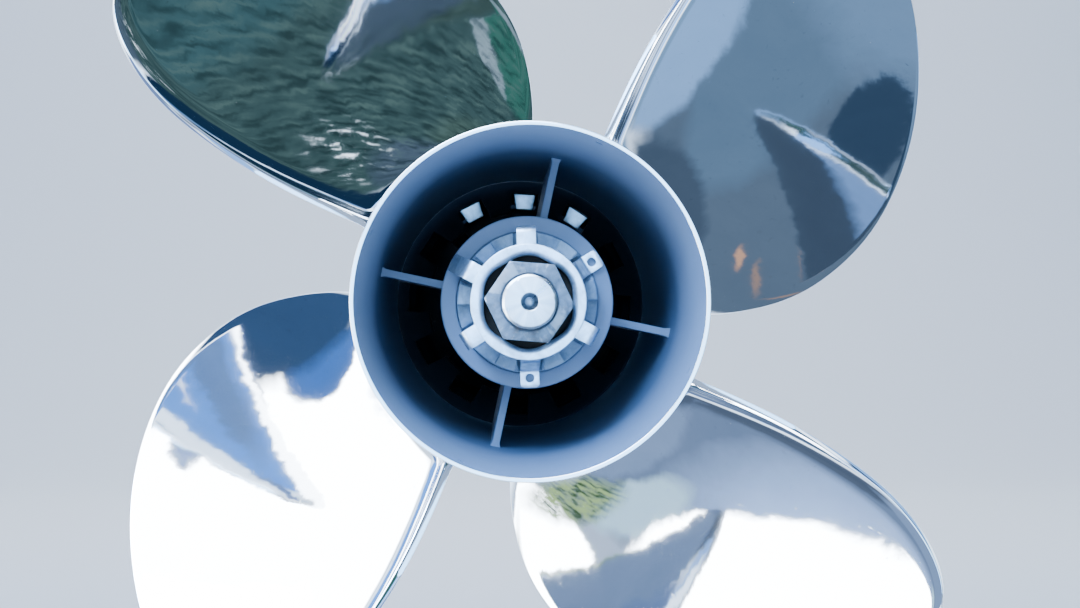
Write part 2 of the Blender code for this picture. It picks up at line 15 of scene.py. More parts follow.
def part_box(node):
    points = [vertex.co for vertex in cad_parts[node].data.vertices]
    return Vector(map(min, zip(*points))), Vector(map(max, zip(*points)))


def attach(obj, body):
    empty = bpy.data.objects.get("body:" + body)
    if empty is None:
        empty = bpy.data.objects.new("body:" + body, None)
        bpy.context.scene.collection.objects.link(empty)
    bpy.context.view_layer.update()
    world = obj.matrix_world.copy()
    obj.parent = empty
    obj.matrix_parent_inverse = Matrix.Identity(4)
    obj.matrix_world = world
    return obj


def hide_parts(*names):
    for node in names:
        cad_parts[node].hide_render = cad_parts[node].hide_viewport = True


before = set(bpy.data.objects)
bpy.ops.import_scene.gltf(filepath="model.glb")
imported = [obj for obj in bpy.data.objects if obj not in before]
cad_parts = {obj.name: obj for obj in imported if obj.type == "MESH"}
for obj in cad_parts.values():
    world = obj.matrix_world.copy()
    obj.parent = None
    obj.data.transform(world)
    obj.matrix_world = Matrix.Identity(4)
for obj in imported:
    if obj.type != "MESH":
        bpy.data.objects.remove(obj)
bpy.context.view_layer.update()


# Bearing carrier
# The fixed housing of the shaft's bearings, an aluminium casting painted black and turned where it seats.
# Four spokes hold its bearing tube in the open aft end, and three windows on top let the exhaust in.
TURN = 2 * pi
CLOSE = 0.0000005
WHOLE_SIDE = 0.95
SHARED_SIDE = 0.48

CARRIER_RADIUS = 0.0465
CARRIER_SHOULDER = 0.0485
CARRIER_SHOULDER_LENGTH = 0.010
CARRIER_WALL = 0.0040
CARRIER_FLOOR = 0.010
BEARING_TUBE_REACH = 0.0085
BEARING_TUBE_RADIUS = 0.0260
BEARING_SEAT = 0.0220
CARRIER_BORE = 0.0163
GROOVE_PLACE = -0.018
GROOVE_WIDTH = 0.0036
GROOVE_DEPTH = 0.0027
SPOKES = 4
SPOKE_ANGLE = radians(42)
SPOKE_SIZE = (0.0185, 0.020, 0.006)
SPOKE_OVERLAP = 0.001
WINDOWS = 3
WINDOW_ANGLE = radians(54)
WINDOW_STEP = radians(36)
WINDOW_SIZE = (0.016, 0.030, 0.016)
WINDOW_SETBACK = 0.014
CAST_ROUNDING = 0.0012
# Where soot and painted shade darken the paint at the aft end, and how far forward they fade out.
SOOT_AND_SHADE_Y = -0.016
SOOT_AND_SHADE_FADE = 0.012
PAINT_BLACK = (0.005, 0.009, 0.014)
SALT_GREY = (0.045, 0.05, 0.06)
BARE_ALUMINIUM = (0.32, 0.33, 0.34)


def placed(name, data):
    """A new object in the scene for a mesh, a lamp or a camera."""
    item = bpy.data.objects.new(name, data)
    bpy.context.collection.objects.link(item)
    return item


def piece_of(name, shape):
    """An object for a closed shape built in bmesh, with doubles merged and faces pointing outwards."""
    bmesh.ops.remove_doubles(shape, verts=shape.verts, dist=CLOSE)
    bmesh.ops.recalc_face_normals(shape, faces=shape.faces)
    mesh = bpy.data.meshes.new(name)
    shape.to_mesh(mesh)
    shape.free()
    return placed(name, mesh)


def rounded(corners, steps=5, closed=True):
    """The points of an outline through corners. A corner's third number is the radius that rounds it.

    A rounding takes no more than WHOLE_SIDE of the side next to it, or SHARED_SIDE beside another rounding.
    """
    points = []
    for i, corner in enumerate(corners):
        here = Vector(corner[:2])
        is_end = not closed and i in (0, len(corners) - 1)
        if len(corner) < 3 or is_end:
            points.append(here)
            continue
        before = corners[i - 1]
        after = corners[(i + 1) % len(corners)]
        back = Vector(before[:2]) - here
        ahead = Vector(after[:2]) - here
        half = back.angle(ahead) / 2
        room_back = back.length * (WHOLE_SIDE if len(before) < 3 else SHARED_SIDE)
        room_ahead = ahead.length * (WHOLE_SIDE if len(after) < 3 else SHARED_SIDE)
        reach = min(corner[2] / tan(half), room_back, room_ahead)
        centre = here + (back.normalized() + ahead.normalized()).normalized() * reach / cos(half)
        start = here + back.normalized() * reach - centre
        sweep = start.angle_signed(here + ahead.normalized() * reach - centre)
        for step in range(steps + 1):
            points.append(centre + Matrix.Rotation(-sweep * step / steps, 2) @ start)
    return points


def lofted(name, rings, around=False, open_rings=False):
    """A piece with its skin through rings of points: around to the first one, or capped at its two ends."""
    shape = bmesh.new()
    rings = [[shape.verts.new(point) for point in ring] for ring in rings]
    following_rings = rings[1:] + rings[:1] if around else rings[1:]
    for ring, following in zip(rings, following_rings):
        for i in range(len(ring) - open_rings):
            j = (i + 1) % len(ring)
            shape.faces.new((ring[i], ring[j], following[j], following[i]))
    if not around:
        shape.faces.new(rings[0])
        shape.faces.new(rings[-1][::-1])
    return piece_of(name, shape)


def turned(name, outline, steps=160, corner_steps=5):
    """A piece turned about the shaft line, from the (radius, y) corners of its outline.

    The outline may also be a function that gives its points at an angle, and may start and end on the line.
    """
    if not callable(outline):
        points = rounded(outline, corner_steps)
    rings = []
    for i in range(steps):
        angle = TURN * i / steps
        if callable(outline):
            points = outline(angle)
        rings.append([(r * cos(angle), y, r * sin(angle)) for r, y in points])
    return lofted(name, rings, around=True, open_rings=points[0][0] < CLOSE)


def block(name, size, centre, rounding):
    """A box of a size along x, y and z, with rounded edges."""
    shape = bmesh.new()
    bmesh.ops.create_cube(shape, size=1, matrix=Matrix.Translation(centre) @ Matrix.Diagonal((*size, 1)))
    bmesh.ops.bevel(shape, geom=shape.edges, offset=rounding, segments=4, profile=0.5, affect="EDGES")
    return piece_of(name, shape)


def made_plain(piece):
    """Gives a piece the mesh that its modifiers make, and takes them off."""
    evaluated = piece.evaluated_get(bpy.context.evaluated_depsgraph_get())
    mesh = bpy.data.meshes.new_from_object(evaluated)
    piece.modifiers.clear()
    piece.data = mesh
    return piece


def combined(piece, others, operation):
    """Joins other shapes to a piece or cuts them from it, and uses them up. Faces keep their materials."""
    for other in others:
        modifier = piece.modifiers.new(operation, "BOOLEAN")
        modifier.operation = operation
        modifier.solver = "EXACT"
        modifier.material_mode = "TRANSFER"
        modifier.object = other
    made_plain(piece)
    for other in others:
        bpy.data.objects.remove(other)


def eased(piece, width, segments=2, sharpest=35):
    """Takes the sharp edges off a piece, and shades it smooth between the edges that are left."""
    if width:
        bevel = piece.modifiers.new("eased edges", "BEVEL")
        bevel.width = width
        bevel.segments = segments
        bevel.limit_method = "ANGLE"
        bevel.angle_limit = radians(sharpest)
        made_plain(piece)
    piece.data.shade_smooth()
    piece.data.set_sharp_from_angle(angle=radians(sharpest))
    return piece


def finished(piece, material, body, node, easing=0, sharpest=35):
    """Eases a piece, gives it its material, and says what it rides on and stands for."""
    eased(piece, easing, sharpest=sharpest)
    piece.data.materials.clear()
    piece.data.materials.append(material)
    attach(piece, body)
    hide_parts(node)


class Value:
    """A number on its way through a node tree. A formula of Values makes the tree's Math nodes."""

    def __init__(self, tree, socket):
        self.tree = tree
        self.socket = socket

    def math(self, operation, *others):
        node = self.tree.nodes.new("ShaderNodeMath")
        node.operation = operation
        for place, value in zip(node.inputs, (self, *others)):
            plug(self.tree, place, value)
        return Value(self.tree, node.outputs[0])

    def __add__(self, other):
        return self.math("ADD", other)

    def __sub__(self, other):
        return self.math("SUBTRACT", other)

    def __rsub__(self, other):
        return self.math("MULTIPLY_ADD", -1.0, other)

    def __mul__(self, other):
        return self.math("MULTIPLY", other)

    def __truediv__(self, other):
        return self.math("DIVIDE", other)

    def __rtruediv__(self, other):
        return self.math("POWER", -1.0) * other

    def __pow__(self, other):
        return self.math("POWER", other)

    def at_least(self, low):
        return self.math("MAXIMUM", low)

    def at_most(self, high):
        return self.math("MINIMUM", high)

    def as_share(self):
        return self.at_least(0.0).at_most(1.0)

    __radd__ = __add__
    __rmul__ = __mul__


def plug(tree, place, value):
    """Links a socket or a Value to an input, or sets the input to a plain value."""
    if isinstance(value, Value):
        value = value.socket
    if isinstance(value, bpy.types.NodeSocket):
        tree.links.new(value, place)
    else:
        place.default_value = value


def feed(tree, node, **inputs):
    """Links or sets a node's inputs by name."""
    for name, value in inputs.items():
        plug(tree, node.inputs[name.replace("_", " ")], value)


def add_node(tree, kind, settings=None, **inputs):
    """A new node with its settings, and its inputs by name."""
    node = tree.nodes.new(kind)
    for name, value in (settings or {}).items():
        setattr(node, name, value)
    feed(tree, node, **inputs)
    return node


def coordinates(tree, vector):
    """The three parts of a vector."""
    parts = add_node(tree, "ShaderNodeSeparateXYZ", Vector=vector)
    return [Value(tree, socket) for socket in parts.outputs]


def vector_of(tree, **parts):
    """A vector of what is given as X, Y and Z, and 0 for the rest."""
    return add_node(tree, "ShaderNodeCombineXYZ", **parts).outputs[0]


def distance(a, b):
    return (a * a + b * b).math("SQRT")


def noise(tree, vector, scale, detail, **inputs):
    """Cloudy noise, from 0 to 1, in a vector's space."""
    node = add_node(tree, "ShaderNodeTexNoise", Vector=vector, Scale=scale, Detail=detail, **inputs)
    return Value(tree, node.outputs[0])


def new_tree(name, kind, inputs, outputs):
    """A node tree with its named sockets. Returns it with a dict of its inputs and its output node."""
    tree = bpy.data.node_groups.new(name, kind)
    for direction, sockets in (("INPUT", inputs), ("OUTPUT", outputs)):
        for label, socket in sockets.items():
            tree.interface.new_socket(label, in_out=direction, socket_type=f"NodeSocket{socket}")
    start = tree.nodes.new("NodeGroupInput")
    given = {
        label: Value(tree, start.outputs[label]) if socket == "Float" else start.outputs[label]
        for label, socket in inputs.items()
    }
    return tree, given, tree.nodes.new("NodeGroupOutput")


def copies_about_line(tree, shape, copies, turn_for, material):
    """Copies of a shape, each turned about the shaft line by what turn_for gives for its number."""
    points = add_node(tree, "GeometryNodePoints", Count=copies).outputs[0]
    number = Value(tree, add_node(tree, "GeometryNodeInputIndex").outputs[0])
    turn = vector_of(tree, Y=turn_for(number))
    ring = add_node(tree, "GeometryNodeInstanceOnPoints", Points=points, Instance=shape, Rotation=turn)
    whole = add_node(tree, "GeometryNodeRealizeInstances", Geometry=ring.outputs[0])
    last = add_node(tree, "GeometryNodeSetMaterial", Geometry=whole.outputs[0], Material=material)
    return last.outputs[0]


def ring_of_copies_tree():
    """Copies of a shape about the shaft line: how many, the first one's angle and the angle to the next."""
    tree, given, end = new_tree(
        "ring of copies",
        "GeometryNodeTree",
        {
            "Shape": "Geometry",
            "Copies": "Int",
            "First Angle": "Float",
            "Step Angle": "Float",
            "Material": "Material",
        },
        {"Ring": "Geometry"},
    )

    def turn_for(number):
        return 0.0 - (given["First Angle"] + given["Step Angle"] * number)

    ring = copies_about_line(tree, given["Shape"], given["Copies"], turn_for, given["Material"])
    feed(tree, end, Ring=ring)
    return tree


ring_of_copies = ring_of_copies_tree()


def run_tree(piece, tree, values):
    """Runs a Geometry Nodes tree on a piece with these inputs, and keeps the mesh that it makes."""
    modifier = piece.modifiers.new(tree.name, "NODES")
    modifier.node_group = tree
    for item in tree.interface.items_tree:
        if item.in_out == "INPUT" and item.name in values:
            modifier[item.identifier] = values[item.name]
    return made_plain(piece)


def ring_of(piece, copies, first_angle=0.0, step_angle=None, material=None):
    """Makes a piece a ring of copies of itself, spread evenly around unless a step is given."""
    step = TURN / copies if step_angle is None else step_angle
    values = {"Copies": copies, "First Angle": first_angle, "Step Angle": step}
    if material:
        values["Material"] = material
    return run_tree(piece, ring_of_copies, values)


def pattern_group(name, numbers, results):
    """The start of a shader group that reads a vector and named numbers, and puts out masks or heights."""
    inputs = {"Vector": "Vector", **dict.fromkeys(numbers, "Float")}
    return new_tree(name, "ShaderNodeTree", inputs, dict.fromkeys(results, "Float"))


def grain_group():
    """Fine grain of a cast or blasted surface. Size is the grain's in metres."""
    tree, given, end = pattern_group("grain", ["Size"], ["Height", "Shade"])
    coarse = noise(tree, given["Vector"], 1 / given["Size"], 3.0)
    fine = noise(tree, given["Vector"], 3 / given["Size"], 2.0)
    feed(tree, end, Height=coarse * 0.65 + fine * 0.35, Shade=coarse)
    return tree


def stains_group():
    """Patches such as stains or worn spots. Size is a patch's in metres, and Cover goes from 0 to 1."""
    tree, given, end = pattern_group("stains", ["Size", "Cover", "Softness"], ["Mask"])
    patches = noise(tree, given["Vector"], 1 / given["Size"], 6.0, Roughness=0.62, Distortion=0.5)
    threshold = 0.72 - given["Cover"] * 0.44
    feed(tree, end, Mask=((patches - threshold) / given["Softness"] + 0.5).as_share())
    return tree


def edge_wear_group():
    """Where a raised edge has lost its coat. Reach says how far the wear spreads from the edge."""
    tree, given, end = pattern_group("edge wear", ["Size", "Reach"], ["Mask"])
    raised = Value(tree, add_node(tree, "ShaderNodeNewGeometry").outputs["Pointiness"]) - 0.5
    chips = noise(tree, given["Vector"], 1 / given["Size"], 5.0)
    feed(tree, end, Mask=(raised * given["Reach"] + (chips - 0.62) * 3.0).as_share())
    return tree


grain = grain_group()
stains = stains_group()
edge_wear = edge_wear_group()


def use(tree, group, **inputs):
    """A shader group's outputs, by name."""
    node = add_node(tree, "ShaderNodeGroup", {"node_tree": group}, **inputs)
    return {output.name: Value(tree, output) for output in node.outputs}


def stain(tree, place, size, cover, softness):
    """A mask of stains: a patch's size in metres, how much they cover, and how soft their edges are."""
    return use(tree, stains, Vector=place, Size=size, Cover=cover, Softness=softness)["Mask"]


def blend(tree, mask, first, second):
    """A colour that goes from the first to the second as the mask goes from 0 to 1."""
    node = add_node(tree, "ShaderNodeMix", {"data_type": "RGBA"})
    plug(tree, node.inputs[0], mask)
    for place, colour in ((node.inputs[6], first), (node.inputs[7], second)):
        plug(tree, place, (*colour, 1.0) if isinstance(colour, tuple) else colour)
    return node.outputs[2]


def new_material(name, metallic, roughness):
    """A material with its tree and the object coordinates that its patterns follow."""
    made = bpy.data.materials.new(name)
    made.use_nodes = True
    tree = made.node_tree
    feed(tree, tree.nodes["Principled BSDF"], Metallic=metallic, Roughness=roughness)
    return made, tree, add_node(tree, "ShaderNodeTexCoord").outputs["Object"]


def surfaced(made, height, relief, **inputs):
    """Gives a material's shader its inputs and the bump of a height, which is relief metres from 0 to 1."""
    tree = made.node_tree
    bump = add_node(tree, "ShaderNodeBump", Height=height, Distance=relief, Strength=1.0)
    feed(tree, tree.nodes["Principled BSDF"], Normal=bump.outputs[0], **inputs)
    return made


def painted_casting():
    """Black paint over aluminium, with salt and worn edges, which soot and painted shade cover at the aft
    end.
    """
    made, tree, place = new_material("painted casting", 0.0, 0.5)
    cast = use(tree, grain, Vector=place, Size=0.0012)
    salt = stain(tree, place, 0.022, 0.42, 0.35)
    # Towards the aft end, soot and painted shade take away the salt and the worn edges, and the paint goes
    # darker.
    clear = ((coordinates(tree, place)[1] - SOOT_AND_SHADE_Y) / SOOT_AND_SHADE_FADE + 0.06).as_share()
    worn = use(tree, edge_wear, Vector=place, Size=0.003, Reach=9.0)["Mask"] * clear
    painted = blend(tree, salt * cast["Shade"] * clear * 0.6, PAINT_BLACK, SALT_GREY)
    return surfaced(
        made,
        cast["Height"] - worn * 0.4,
        0.00012,
        Base_Color=blend(tree, worn, painted, BARE_ALUMINIUM),
        Metallic=worn,
        Roughness=salt * 0.25 + 0.55,
        Specular_IOR_Level=clear * 0.17 + 0.03,
    )


cast_paint = painted_casting()
carrier_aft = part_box("bearing_carrier")[0].y
shoulder_y = carrier_aft + BEARING_TUBE_REACH
shoulder_end = shoulder_y + CARRIER_SHOULDER_LENGTH
groove_floor = CARRIER_RADIUS - GROOVE_DEPTH
groove_end = GROOVE_PLACE + GROOVE_WIDTH
carrier_inside = CARRIER_RADIUS - CARRIER_WALL
carrier = turned(
    "bearing_carrier_housing",
    [
        (CARRIER_SHOULDER, shoulder_y, CAST_ROUNDING),
        (CARRIER_SHOULDER, shoulder_end, CAST_ROUNDING / 2),
        (CARRIER_RADIUS, shoulder_end, CAST_ROUNDING),
        (CARRIER_RADIUS, GROOVE_PLACE, CAST_ROUNDING / 4),
        (groove_floor, GROOVE_PLACE),
        (groove_floor, groove_end),
        (CARRIER_RADIUS, groove_end, CAST_ROUNDING / 4),
        (CARRIER_RADIUS, 0.0, CAST_ROUNDING * 1.5),
        (CARRIER_BORE, 0.0, CAST_ROUNDING / 2),
        (CARRIER_BORE, -CARRIER_FLOOR / 2),
        (BEARING_SEAT, -CARRIER_FLOOR / 2),
        (BEARING_SEAT, carrier_aft, CAST_ROUNDING / 3),
        (BEARING_TUBE_RADIUS, carrier_aft, CAST_ROUNDING),
        (BEARING_TUBE_RADIUS, -CARRIER_FLOOR, CAST_ROUNDING * 2),
        (carrier_inside, -CARRIER_FLOOR, CAST_ROUNDING * 2),
        (carrier_inside, shoulder_y, CAST_ROUNDING),
    ],
)
spoke_x = BEARING_TUBE_RADIUS + SPOKE_SIZE[0] / 2 - SPOKE_OVERLAP
spoke = block("spokes", SPOKE_SIZE, (spoke_x, shoulder_y + SPOKE_SIZE[1] / 2, 0), CAST_ROUNDING)
window_y = shoulder_end + WINDOW_SETBACK + WINDOW_SIZE[1] / 2
window = block("windows", WINDOW_SIZE, (CARRIER_RADIUS, window_y, 0), CAST_ROUNDING * 2)
combined(carrier, [ring_of(spoke, SPOKES, SPOKE_ANGLE)], "UNION")
combined(carrier, [ring_of(window, WINDOWS, WINDOW_ANGLE, WINDOW_STEP)], "DIFFERENCE")
finished(carrier, cast_paint, "carrier", "bearing_carrier")


# O-ring and shaft seals
# A round rubber ring in the carrier's groove, and two rubber lip seals behind each other around the shaft.
# Each seal has its lips and a groove for the spring that presses them on the shaft.
RING_PROUD = 0.0003
SEAL_BORE = 0.01625
SEAL_RADIUS = 0.0214
SEAL_WALL = 0.0012
SEAL_LIP = 0.0016
RUBBER_BLACK = (0.018, 0.018, 0.019)
RUBBER_DUST = (0.10, 0.10, 0.09)


def black_rubber():
    made, tree, place = new_material("black rubber", 0.0, 0.7)
    skin = use(tree, grain, Vector=place, Size=0.0006)
    dust = stain(tree, place, 0.012, 0.4, 0.4)
    return surfaced(
        made,
        skin["Height"],
        0.00004,
        Base_Color=blend(tree, dust * 0.4, RUBBER_BLACK, RUBBER_DUST),
        Roughness=dust * 0.2 + 0.58,
    )


def collar(name, outer, inner, ends, roundings, corner_steps=5):
    """A plain turned ring. Its roundings go from the outer aft corner forward, inwards and back."""
    places = ((outer, ends[0]), (outer, ends[1]), (inner, ends[1]), (inner, ends[0]))
    corners = [(*place, rounding) for place, rounding in zip(places, roundings)]
    return turned(name, corners, corner_steps=corner_steps)


rubber = black_rubber()
low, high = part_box("carrier_o_ring")
half = (high.y - low.y) / 2
roundings = (half, half, half / 2, half / 2)
o_ring = collar("rubber_o_ring", high.x, groove_floor + RING_PROUD, (low.y, high.y), roundings)
finished(o_ring, rubber, "carrier", "carrier_o_ring")

for node in ("aft_shaft_seal", "fore_shaft_seal"):
    low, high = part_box(node)
    lip = SEAL_BORE + SEAL_LIP
    seal = turned(
        f"{node}_rubber",
        [
            (SEAL_RADIUS, low.y, 0.0006),
            (SEAL_RADIUS, high.y, 0.0006),
            (SEAL_RADIUS - SEAL_WALL, high.y, 0.0004),
            (SEAL_RADIUS - SEAL_WALL, high.y - 0.0044, 0.0004),
            (lip + 0.0008, high.y - 0.0038, 0.0004),
            (lip, high.y - 0.0012, 0.0003),
            (SEAL_BORE, high.y - 0.0020, 0.0002),
            (lip - 0.0004, high.y - 0.0048, 0.0003),
            (SEAL_BORE, low.y + 0.0005, 0.0002),
            (SEAL_BORE + 0.0006, low.y, 0.0002),
        ],
    )
    finished(seal, rubber, "carrier", node)


# Shaft bearings
# A needle bearing behind the seals, with its rollers around the shaft, and a ball bearing at the carrier's
# forward end, both pressed into the bearing tube and bright where they were ground.
ROLLER_RADIUS = 0.0013
ROLLERS = 30
ROLLER_ROUNDING = 0.0002
ROLLER_PLAY = 0.0004
BALL_RADIUS = 0.00147
BALLS = 14
RACE_WALL = 0.0012
RACE_LIP = 0.0012
RACE_ROUNDING = 0.0004
STEEL_BRIGHT = (0.52, 0.52, 0.53)
OIL_BROWN = (0.24, 0.20, 0.15)


def tool_marks_group():
    """The rings that a turning or grinding tool leaves about the shaft line, on faces and round walls."""
    tree, given, end = pattern_group("tool marks", ["Pitch"], ["Height"])
    x, y, z = coordinates(tree, given["Vector"])
    along = (distance(x, z) + y) / given["Pitch"]
    one_way = {"noise_dimensions": "1D"}
    height = 0.0
    for scale, share in ((0.25, 0.4), (1.0, 0.4), (3.1, 0.2)):
        marks = add_node(tree, "ShaderNodeTexNoise", one_way, W=along * scale, Detail=1.0)
        height = Value(tree, marks.outputs[0]) * share + height
    feed(tree, end, Height=height)
    return tree


tool_marks = tool_marks_group()


def ground_steel():
    made, tree, place = new_material("ground bearing steel", 1.0, 0.3)
    rings = use(tree, tool_marks, Vector=place, Pitch=0.0003)["Height"]
    oil = stain(tree, place, 0.008, 0.45, 0.5)
    return surfaced(
        made,
        rings,
        0.00001,
        Base_Color=blend(tree, oil * 0.6, STEEL_BRIGHT, OIL_BROWN),
        Roughness=oil * 0.12 + rings * 0.2 + 0.12,
    )


def ball_or_oval(name, radii, centre):
    """A ball, or an oval where its radii differ."""
    shape = bmesh.new()
    place = Matrix.Translation(centre) @ Matrix.Diagonal((*radii, 1))
    bmesh.ops.create_uvsphere(shape, u_segments=24, v_segments=12, radius=1, matrix=place)
    return piece_of(name, shape)


def rod(name, radius, start, end, segments=32):
    """A round rod from one point to another."""
    start = Vector(start)
    end = Vector(end)
    turn = (end - start).to_track_quat("Z", "Y").to_matrix().to_4x4()
    shape = bmesh.new()
    bmesh.ops.create_cone(
        shape,
        segments=segments,
        radius1=radius,
        radius2=radius,
        depth=(end - start).length,
        cap_ends=True,
        matrix=Matrix.Translation((start + end) / 2) @ turn,
    )
    return piece_of(name, shape)


bearing_steel = ground_steel()
low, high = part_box("needle_bearing")
race_radius = high.x
race_inside = race_radius - RACE_WALL
lip = SEAL_BORE + RACE_LIP
aft_wall = low.y + RACE_WALL
fore_wall = high.y - RACE_WALL
needle_race = turned(
    "needle_bearing_race",
    [
        (race_radius, low.y, 0.0008),
        (race_radius, high.y, 0.0008),
        (lip, high.y, 0.0004),
        (lip, fore_wall, 0.0003),
        (race_inside, fore_wall, 0.0003),
        (race_inside, aft_wall, 0.0003),
        (lip, aft_wall, 0.0003),
        (lip, low.y, 0.0004),
    ],
)
finished(needle_race, bearing_steel, "carrier", "needle_bearing")
roller_x = SEAL_BORE + ROLLER_RADIUS + 0.0001
roller_ends = ((roller_x, aft_wall + ROLLER_PLAY, 0), (roller_x, fore_wall - ROLLER_PLAY, 0))
roller = eased(rod("needle_rollers", ROLLER_RADIUS, *roller_ends, segments=16), ROLLER_ROUNDING)
rollers = ring_of(roller, ROLLERS, material=bearing_steel)
finished(rollers, bearing_steel, "carrier", "needle_bearing")

low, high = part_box("ball_bearing")
for name, inner, outer in (
    ("ball_bearing_inner_race", SEAL_BORE, SEAL_BORE + RACE_WALL),
    ("ball_bearing_outer_race", race_inside, race_radius),
):
    race = collar(name, outer, inner, (low.y, high.y), (RACE_ROUNDING,) * 4)
    finished(race, bearing_steel, "carrier", "ball_bearing")
ball_place = ((SEAL_BORE + race_radius) / 2, (low.y + high.y) / 2, 0)
ball = ball_or_oval("bearing_balls", (BALL_RADIUS,) * 3, ball_place)
balls = ring_of(ball, BALLS, material=bearing_steel)
finished(balls, bearing_steel, "carrier", "ball_bearing")


# Propeller shaft
# A turned stainless-steel shaft, with a 3/4 inch thread and a centre hole at its aft end. Ahead of these it
# has splines that drive the propeller, a taper that takes its thrust, and a journal in the bearings.
SHAFT_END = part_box("propeller_shaft")[0].y
SHAFT_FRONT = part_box("propeller_shaft")[1].y
SHAFT_CHAMFER = 0.0007
THREAD_RADIUS = 0.00945
THREAD_PITCH = 0.0254 / 16
THREAD_CUT = 0.00090
THREAD_END = SHAFT_END + 0.0375
THREAD_RELIEF = 0.0083
THREAD_STEPS = 8
RUN_OUT_LENGTH = 0.004
RUN_OUT_RISE = 0.05
SPLINES = 15
SPLINE_ROOT = 0.0116
SPLINE_RADIUS = 0.0127
SPLINE_SIZE = (0.0022, 0.0028)
SPLINE_ROUNDING = 0.0003
TAPER_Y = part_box("thrust_hub")[0].y
TAPER_LENGTH = 0.017
JOURNAL_RADIUS = 0.0159
CENTRE_HOLE_RADIUS = 0.00315
CENTRE_DRILL_RADIUS = 0.0017
CENTRE_DEPTHS = (0.0026, 0.0056, 0.0066)
# Each nick in the edge of the shaft's end has its angle in degrees and its depth.
NICKS = ((118, 0.00045), (8, 0.0003), (241, 0.0002))
NICK_WIDTH = 3
STREAK_DARK = (0.24, 0.33, 0.44)
STREAK_BRIGHT = (0.84, 0.93, 1.0)
FILM_GREY = (0.36, 0.38, 0.42)
# The centre hole's colour: grease, and painted shade deep in the hole.
GREASE_AND_SHADE_GREY = (0.17, 0.23, 0.30)


def thread_rows(start, end, pitch):
    """The places along the shaft line, from start to end, at which a thread's outline has its points."""
    rows = THREAD_STEPS * round(abs(end - start) / pitch)
    return [start + (end - start) * row / rows for row in range(1, rows)]


def thread_depth(y, angle):
    """How deep the thread is cut at a place along the shaft line and around it. The cut's root is round."""
    turns = ((y - SHAFT_END) / THREAD_PITCH + angle / TURN) % 1
    return THREAD_CUT * min(2.3 * (1 - abs(2 * turns - 1)), 1) * (0.62 + 0.38 * sin(pi * turns))


def shaft_outline(angle):
    """The shaft at an angle, from the bottom of its centre hole over the thread and taper to its front."""
    nick = sum(size * 0.5 ** (((angle / TURN * 360 - place) / NICK_WIDTH) ** 2) for place, size in NICKS)
    edge = THREAD_RADIUS - SHAFT_CHAMFER
    cone_end, drill_end, tip = CENTRE_DEPTHS
    points = [
        (0, SHAFT_END + tip),
        (CENTRE_DRILL_RADIUS, SHAFT_END + drill_end),
        (CENTRE_DRILL_RADIUS, SHAFT_END + cone_end),
        (CENTRE_HOLE_RADIUS - 0.00015, SHAFT_END + 0.00015),
        (CENTRE_HOLE_RADIUS + 0.00005, SHAFT_END),
        (edge - 0.0003 - nick, SHAFT_END),
        (edge - 0.0001 - nick, SHAFT_END + 0.00005),
    ]
    for y in thread_rows(SHAFT_END, THREAD_END, THREAD_PITCH):
        chamfered = edge + (y - SHAFT_END) - nick
        run_out = THREAD_RELIEF + max(0.0, RUN_OUT_LENGTH + y - THREAD_END) * RUN_OUT_RISE
        cut = THREAD_RADIUS - thread_depth(y, angle)
        points.append((max(min(cut, chamfered), run_out), y))
    return points + [
        (THREAD_RELIEF + 0.0004, THREAD_END),
        (SPLINE_ROOT - 0.0006, THREAD_END + 0.0004),
        (SPLINE_ROOT, THREAD_END + 0.0010),
        (SPLINE_ROOT, TAPER_Y - 0.0030),
        (SPLINE_RADIUS, TAPER_Y - 0.0018),
        (SPLINE_RADIUS, TAPER_Y),
        (JOURNAL_RADIUS, TAPER_Y + TAPER_LENGTH),
        (JOURNAL_RADIUS, SHAFT_FRONT - SHAFT_CHAMFER),
        (JOURNAL_RADIUS - SHAFT_CHAMFER, SHAFT_FRONT),
        (0, SHAFT_FRONT),
    ]


def turned_steel():
    """Turned rings, and on the end face streaks that run outwards where it was dressed with a grinder."""
    made, tree, place = new_material("turned steel", 1.0, 0.3)
    x, _, z = coordinates(tree, place)
    outwards = vector_of(tree, X=x, Z=z)
    around = add_node(tree, "ShaderNodeVectorMath", {"operation": "NORMALIZE"}, Vector=outwards).outputs[0]
    fine = noise(tree, around, 16.0, 7.0, Roughness=0.75)
    sectors = ((noise(tree, around, 2.2, 1.0) - 0.5) * 2.4 + 0.5).as_share()
    streaks = fine * 0.5 + sectors * 0.5
    rings = use(tree, tool_marks, Vector=place, Pitch=0.00022)["Height"]
    film = stain(tree, place, 0.006, 0.45, 0.5)
    # The centre hole is darkened with grease and painted shade.
    greased_and_shaded = ((CENTRE_HOLE_RADIUS - distance(x, z)) / 0.0005 + 0.3).as_share()
    dressed = blend(tree, streaks, STREAK_DARK, STREAK_BRIGHT)
    worked = blend(tree, film * 0.45, dressed, FILM_GREY)
    return surfaced(
        made,
        rings * 0.5 + streaks,
        0.00004,
        Base_Color=blend(tree, greased_and_shaded * 0.85, worked, GREASE_AND_SHADE_GREY),
        Roughness=streaks * 0.22 + film * 0.1 + 0.17,
    )


shaft_steel = turned_steel()
shaft = turned("turned_shaft", shaft_outline)
finished(shaft, shaft_steel, "rotor", "propeller_shaft", sharpest=24)

tooth = block(
    "shaft_splines",
    (SPLINE_SIZE[0], TAPER_Y - THREAD_END - 0.0032, SPLINE_SIZE[1]),
    (SPLINE_RADIUS - SPLINE_SIZE[0] / 2, (TAPER_Y + THREAD_END) / 2 - 0.0004, 0),
    SPLINE_ROUNDING,
)
splines = ring_of(tooth, SPLINES, material=shaft_steel)
finished(splines, shaft_steel, "rotor", "propeller_shaft")


